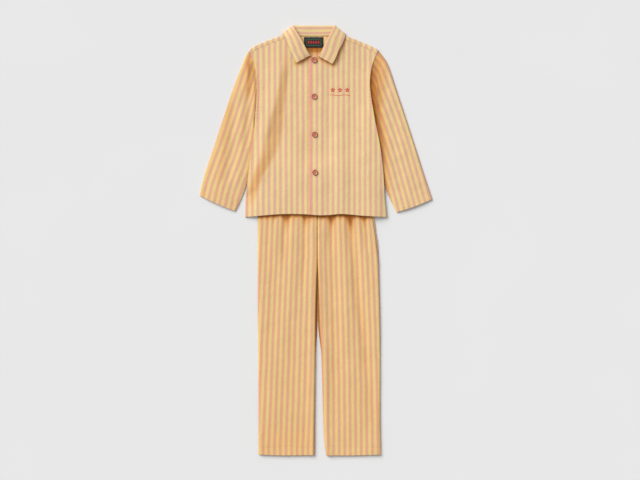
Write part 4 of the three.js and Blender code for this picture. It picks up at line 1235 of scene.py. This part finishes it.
def trouser_front_shape(side):
    lines = leg_lines(side, cut_away=True)
    rows = LEG_ROWS[side]

    def shape(u, v):
        x, y = patch(*lines, u, v).T
        width = np.linalg.norm(lines[1](v) - lines[0](v), axis=1)
        near = np.minimum(u, 1 - u) * width
        edge = np.sqrt(1 - (1 - np.clip(near / 4, 0, 1)) ** 2)
        from_inseam = (1 - u if side < 0 else u) * width
        under_shirt = ease(48, 78, y)
        open_gap = TROUSER_GAP + creases(rows, x, y) + 0.18 * ripples(x, y, 75, 21 + side)
        open_gap += 1.6 * np.exp(-(((from_inseam - 7) / 7) ** 2)) * (1 - ease(-20, 60, y))
        above_hem = y - LEG_HEM_Y
        open_gap += puckers(x, above_hem, 10, 0.12, 9) + puckers(x, np.abs(above_hem - HEM_DEPTH), 3, 0.1, 12)
        open_gap = np.clip(open_gap, 0.2, mix(7.5, 2.4, under_shirt))
        over_pocket = ease(POCKET_INNER_X - 14, POCKET_INNER_X - 4, x) * ease(-80, -58, y) * (side > 0)
        z = CLOTH + SEAM_GAP + np.maximum(edge * open_gap, (LAP + 0.2) * over_pocket) + CLOTH / 2
        z -= 0.5 * edge * np.exp(-(((above_hem - HEM_DEPTH) / 1.6) ** 2))
        return np.column_stack([x, y, z])

    return shape


def trouser_back_shape(side):
    """Flat on the floor, and sewn to its neighbour a little further down than the fronts."""
    lines = leg_lines(side)
    inseams = Line(INSEAM_RIGHT), Line(INSEAM_LEFT)

    def shape(u, v):
        x, y = patch(*lines, u, v).T
        opening = (inseams[1].x_at(y) - inseams[0].x_at(y)) * ease(-300, -190, y) * (1 - ease(-70, -40, y))
        reach = 0.42 * opening * ease(0.8, 1, 1 - u if side > 0 else u)
        return np.column_stack([x - side * reach, y, np.full_like(u, CLOTH / 2)])

    return shape


def leg_grain(side):
    """Stripes keep their count between two of them that were followed down the leg."""
    ys, first, second = np.array(STRIPES_RIGHT_LEG if side < 0 else STRIPES_LEFT_LEG).T
    repeats = REPEATS_BETWEEN_STRIPES[side]

    def grain(u, v, places):
        x, y = places.T[:2]
        a, b = np.interp(y, ys, first), np.interp(y, ys, second)
        return (x - a + 0.4 * ripples(x, y, 90, 31)) / (b - a) * repeats, y / STRIPE_REPEAT

    return grain


TROUSER_SHAPES = {side: trouser_front_shape(side) for side in (-1, 1)}


def trouser_painted_shade(side):
    """Painted shade in troughs, below the shirt's hem, between the legs and along the right leg's outer edge,
    and a little towards the leg hems.
    """
    rows = LEG_ROWS[side]
    lines = leg_lines(side, cut_away=True)

    def painted_shade(u, v, places):
        x, y = places.T[:2]
        trough = hollows(rows, x, y)
        below = np.maximum(HEM.y_at(x) - y, 0)
        shade = 0.64 * np.exp(-((below / 7) ** 2))
        shade += (0.35 + 0.7 * trough) * np.exp(-((below / (8 + 24 * trough)) ** 2))
        from_inseam = (1 - u if side < 0 else u) * np.linalg.norm(lines[1](v) - lines[0](v), axis=1)
        between = np.exp(-((from_inseam / 3.2) ** 2)) * mix(0.35, 1.0, ease(-330, -190, y))
        between *= 1 - 0.75 * ease(-110, -10, y)
        painted_rim_shade = 0.14 * np.exp(-(((u if side < 0 else 1 - u) * 150 / 4) ** 2)) * (side < 0)
        # painted shade: the legs darken a little downwards,
        # most just above the right hem and beside the left one's edge
        downwards = (0.08 if side < 0 else 0.05) * ease(100, 540, -y)
        if side < 0:
            downwards += 0.09 * np.exp(-(((y + 500) / 30) ** 2))
        else:
            downwards += 0.12 * ease(148, 160, x) * ease(360, 430, -y)
        return 0.2 * trough + shade + between + painted_rim_shade + downwards

    return painted_shade


def make_trousers():
    pieces = {}
    for side, word in ((-1, "right"), (1, "left")):
        # the backs get painted shade along the inseam, where they show between the legs
        back = cloth(
            f"trouser_back_{word}_cloth", (24, 60), trouser_back_shape(side), leg_grain(side),
            TROUSER_COTTON, painted_shade=lambda u, v, places: np.maximum(0, 1 - 6 * (1 - u if side < 0 else u)),
        )
        finish(back, [f"trouser_back_{word}"])
        front = cloth(
            f"trouser_front_{word}_cloth", (84, 230), TROUSER_SHAPES[side], leg_grain(side),
            TROUSER_COTTON, snug_cells=(0.008, 0.0018), painted_shade=trouser_painted_shade(side),
        )
        finish(front, [f"trouser_front_{word}"])
        pieces[side] = (front, back)
    return pieces


def pocket_shape(u, v):
    y = mix(POCKET_BOTTOM_Y, LEG_TOP_Y, v)
    x = mix(POCKET_INNER_X, Line(TROUSER_SIDE_LEFT).x_at(y) - 0.2, u)
    return np.column_stack([x, y, np.full_like(x, LAP + CLOTH / 2)])


def band_shape(t, s):
    """A flattened ring of casing, ruched by the elastic inside it."""
    y = mix(WAIST_SEAM_Y, WAIST_TOP_Y, s)
    low_x, high_x = mix(-130, -128, s), mix(131, 128, s)
    radius, inset = 1.25, BAND_CLOTH / 2
    half = t < 0.5
    share = np.where(half, t * 2, 2 - t * 2)
    x = mix(low_x + inset, high_x - inset, share)
    level = np.where(half, 1.0, -1.0)
    near_end = np.minimum(x - low_x, high_x - x) - inset
    drop = np.sqrt(np.clip(1 - (1 - np.clip(near_end / radius, 0, 1)) ** 2, 0, 1))
    ruche = 0.22 * np.sin(x * math.tau / 8 + 2 * np.sin(x / 31)) * np.sin(math.pi * s) * drop
    z = BAND_CLOTH / 2 + radius * (1 + level * drop) + np.where(half, ruche, 0)
    return np.column_stack([x, y, z])


def make_band_and_pocket():
    band = cloth(
        "waistband_cloth", (160, 12), band_shape,
        lambda t, s, places: (places[:, 0] / 12.4, places[:, 1] / STRIPE_REPEAT), TROUSER_COTTON,
        thickness=BAND_COTTON, tube=True, snug_cells=(0.0, 0.03),
    )
    finish(band, ["waistband"])
    facing = cloth(
        "pocket_facing_cloth", (12, 40), pocket_shape, leg_grain(1), TROUSER_COTTON, snug_cells=(0.03, 0.008),
    )
    finish(facing, ["pocket_facing_left"])
    return band, facing


# Sewing
def make_stitching():
    face = COTTON / 2 + STITCH_LIFT
    collar_face = COLLAR_COTTON / 2 + STITCH_LIFT
    hem_share = 0.5 * 12 / (UNDERARM_Y - 60)
    sleeve_hem_share = 1 - HEM_DEPTH / 385
    leg_hem_share = HEM_DEPTH / 660
    shirt_runs = []
    for side in (-1, 1):
        shape = FRONT_SHAPES[side]
        shirt_runs.append(run_on(shape, np.linspace(0.01, 0.99, 80), hem_share, face))
        shirt_runs.append(run_on(shape, 0.03, np.linspace(0.52, 0.985, 80), face))
        shirt_runs.append(run_on(shape, np.linspace(0.02, 0.49, 40), 0.992, face))
        round_front = np.linspace(0.01, SLEEVE_FRONT / SLEEVE_ROUND - 0.01, 40)
        shirt_runs.append(run_on(SLEEVE_SHAPES[side], round_front, sleeve_hem_share, face))
    edge = np.linspace(0.004, 0.22, 40)
    for share in (edge, 1 - edge):
        shirt_runs.append(run_on(collar_shape, share, 0.9, collar_face))
    leaf = np.linspace(FOLD_SHARE + 0.02, 0.9, 20)
    for share in (0.012, 0.988):
        shirt_runs.append(run_on(collar_shape, share, leaf, collar_face))
    shirt = stitched("shirt_stitching", shirt_runs, SEWING_THREAD)
    finish(shirt)
    trouser_runs = []
    for side in (-1, 1):
        trouser_runs.append(run_on(TROUSER_SHAPES[side], np.linspace(0.01, 0.99, 80), leg_hem_share, face))
    pocket_v = np.linspace(0.715, 0.99, 40)
    trouser_runs.append(run_on(TROUSER_SHAPES[1], 0.975, pocket_v, face))
    trousers = stitched("trouser_stitching", trouser_runs, SEWING_THREAD)
    finish(trousers)
    return shirt, trousers


# Camera, floor and light
def make_stage():
    camera = bpy.data.objects.new("camera", bpy.data.cameras.new("camera"))
    bpy.context.collection.objects.link(camera)
    camera.data.lens = 85
    camera.data.sensor_width = 36
    frame_width = 1600  # of the floor, across the whole picture
    camera.location = (10 * MM, 1 * MM, frame_width * camera.data.lens / camera.data.sensor_width * MM)
    bpy.context.scene.camera = camera

    bm = bmesh.new()
    bmesh.ops.create_grid(bm, x_segments=2, y_segments=2, size=4.0)
    mesh = bpy.data.meshes.new("floor")
    bmesh.ops.translate(bm, vec=(0, 0, -0.2 * MM), verts=bm.verts)
    bm.to_mesh(mesh)
    bm.free()
    link(mesh, "floor", paper_floor())

    sun = bpy.data.objects.new("window light", bpy.data.lights.new("window light", "SUN"))
    bpy.context.collection.objects.link(sun)
    sun.data.energy = 2.85
    sun.data.angle = math.radians(42)
    sun.rotation_euler = Vector((-0.557, 0.557, 0.616)).to_track_quat("Z", "Y").to_euler()

    world = bpy.data.worlds.new("studio")
    bpy.context.scene.world = world
    world.use_nodes = True
    background = world.node_tree.nodes["Background"]
    background.inputs["Color"].default_value = hex_colour("FFFFFF")
    background.inputs["Strength"].default_value = 0.45
    bpy.context.scene.view_settings.view_transform = "Standard"


make_stage()
shirt_back, shirt_fronts = make_shirt_body()
sleeves = make_sleeves()
collar = make_collar()
label, label_marks = make_label()
buttons = [make_button(n, x, y) for n, (x, y) in enumerate(BUTTONS, 1)]
button_threads = [thread_of_button(n, x, y) for n, (x, y) in enumerate(BUTTONS, 1)]
buttonholes = make_buttonholes()
motif = make_chest_motif()
legs = make_trousers()
waistband, pocket_facing = make_band_and_pocket()
shirt_stitching, trouser_stitching = make_stitching()
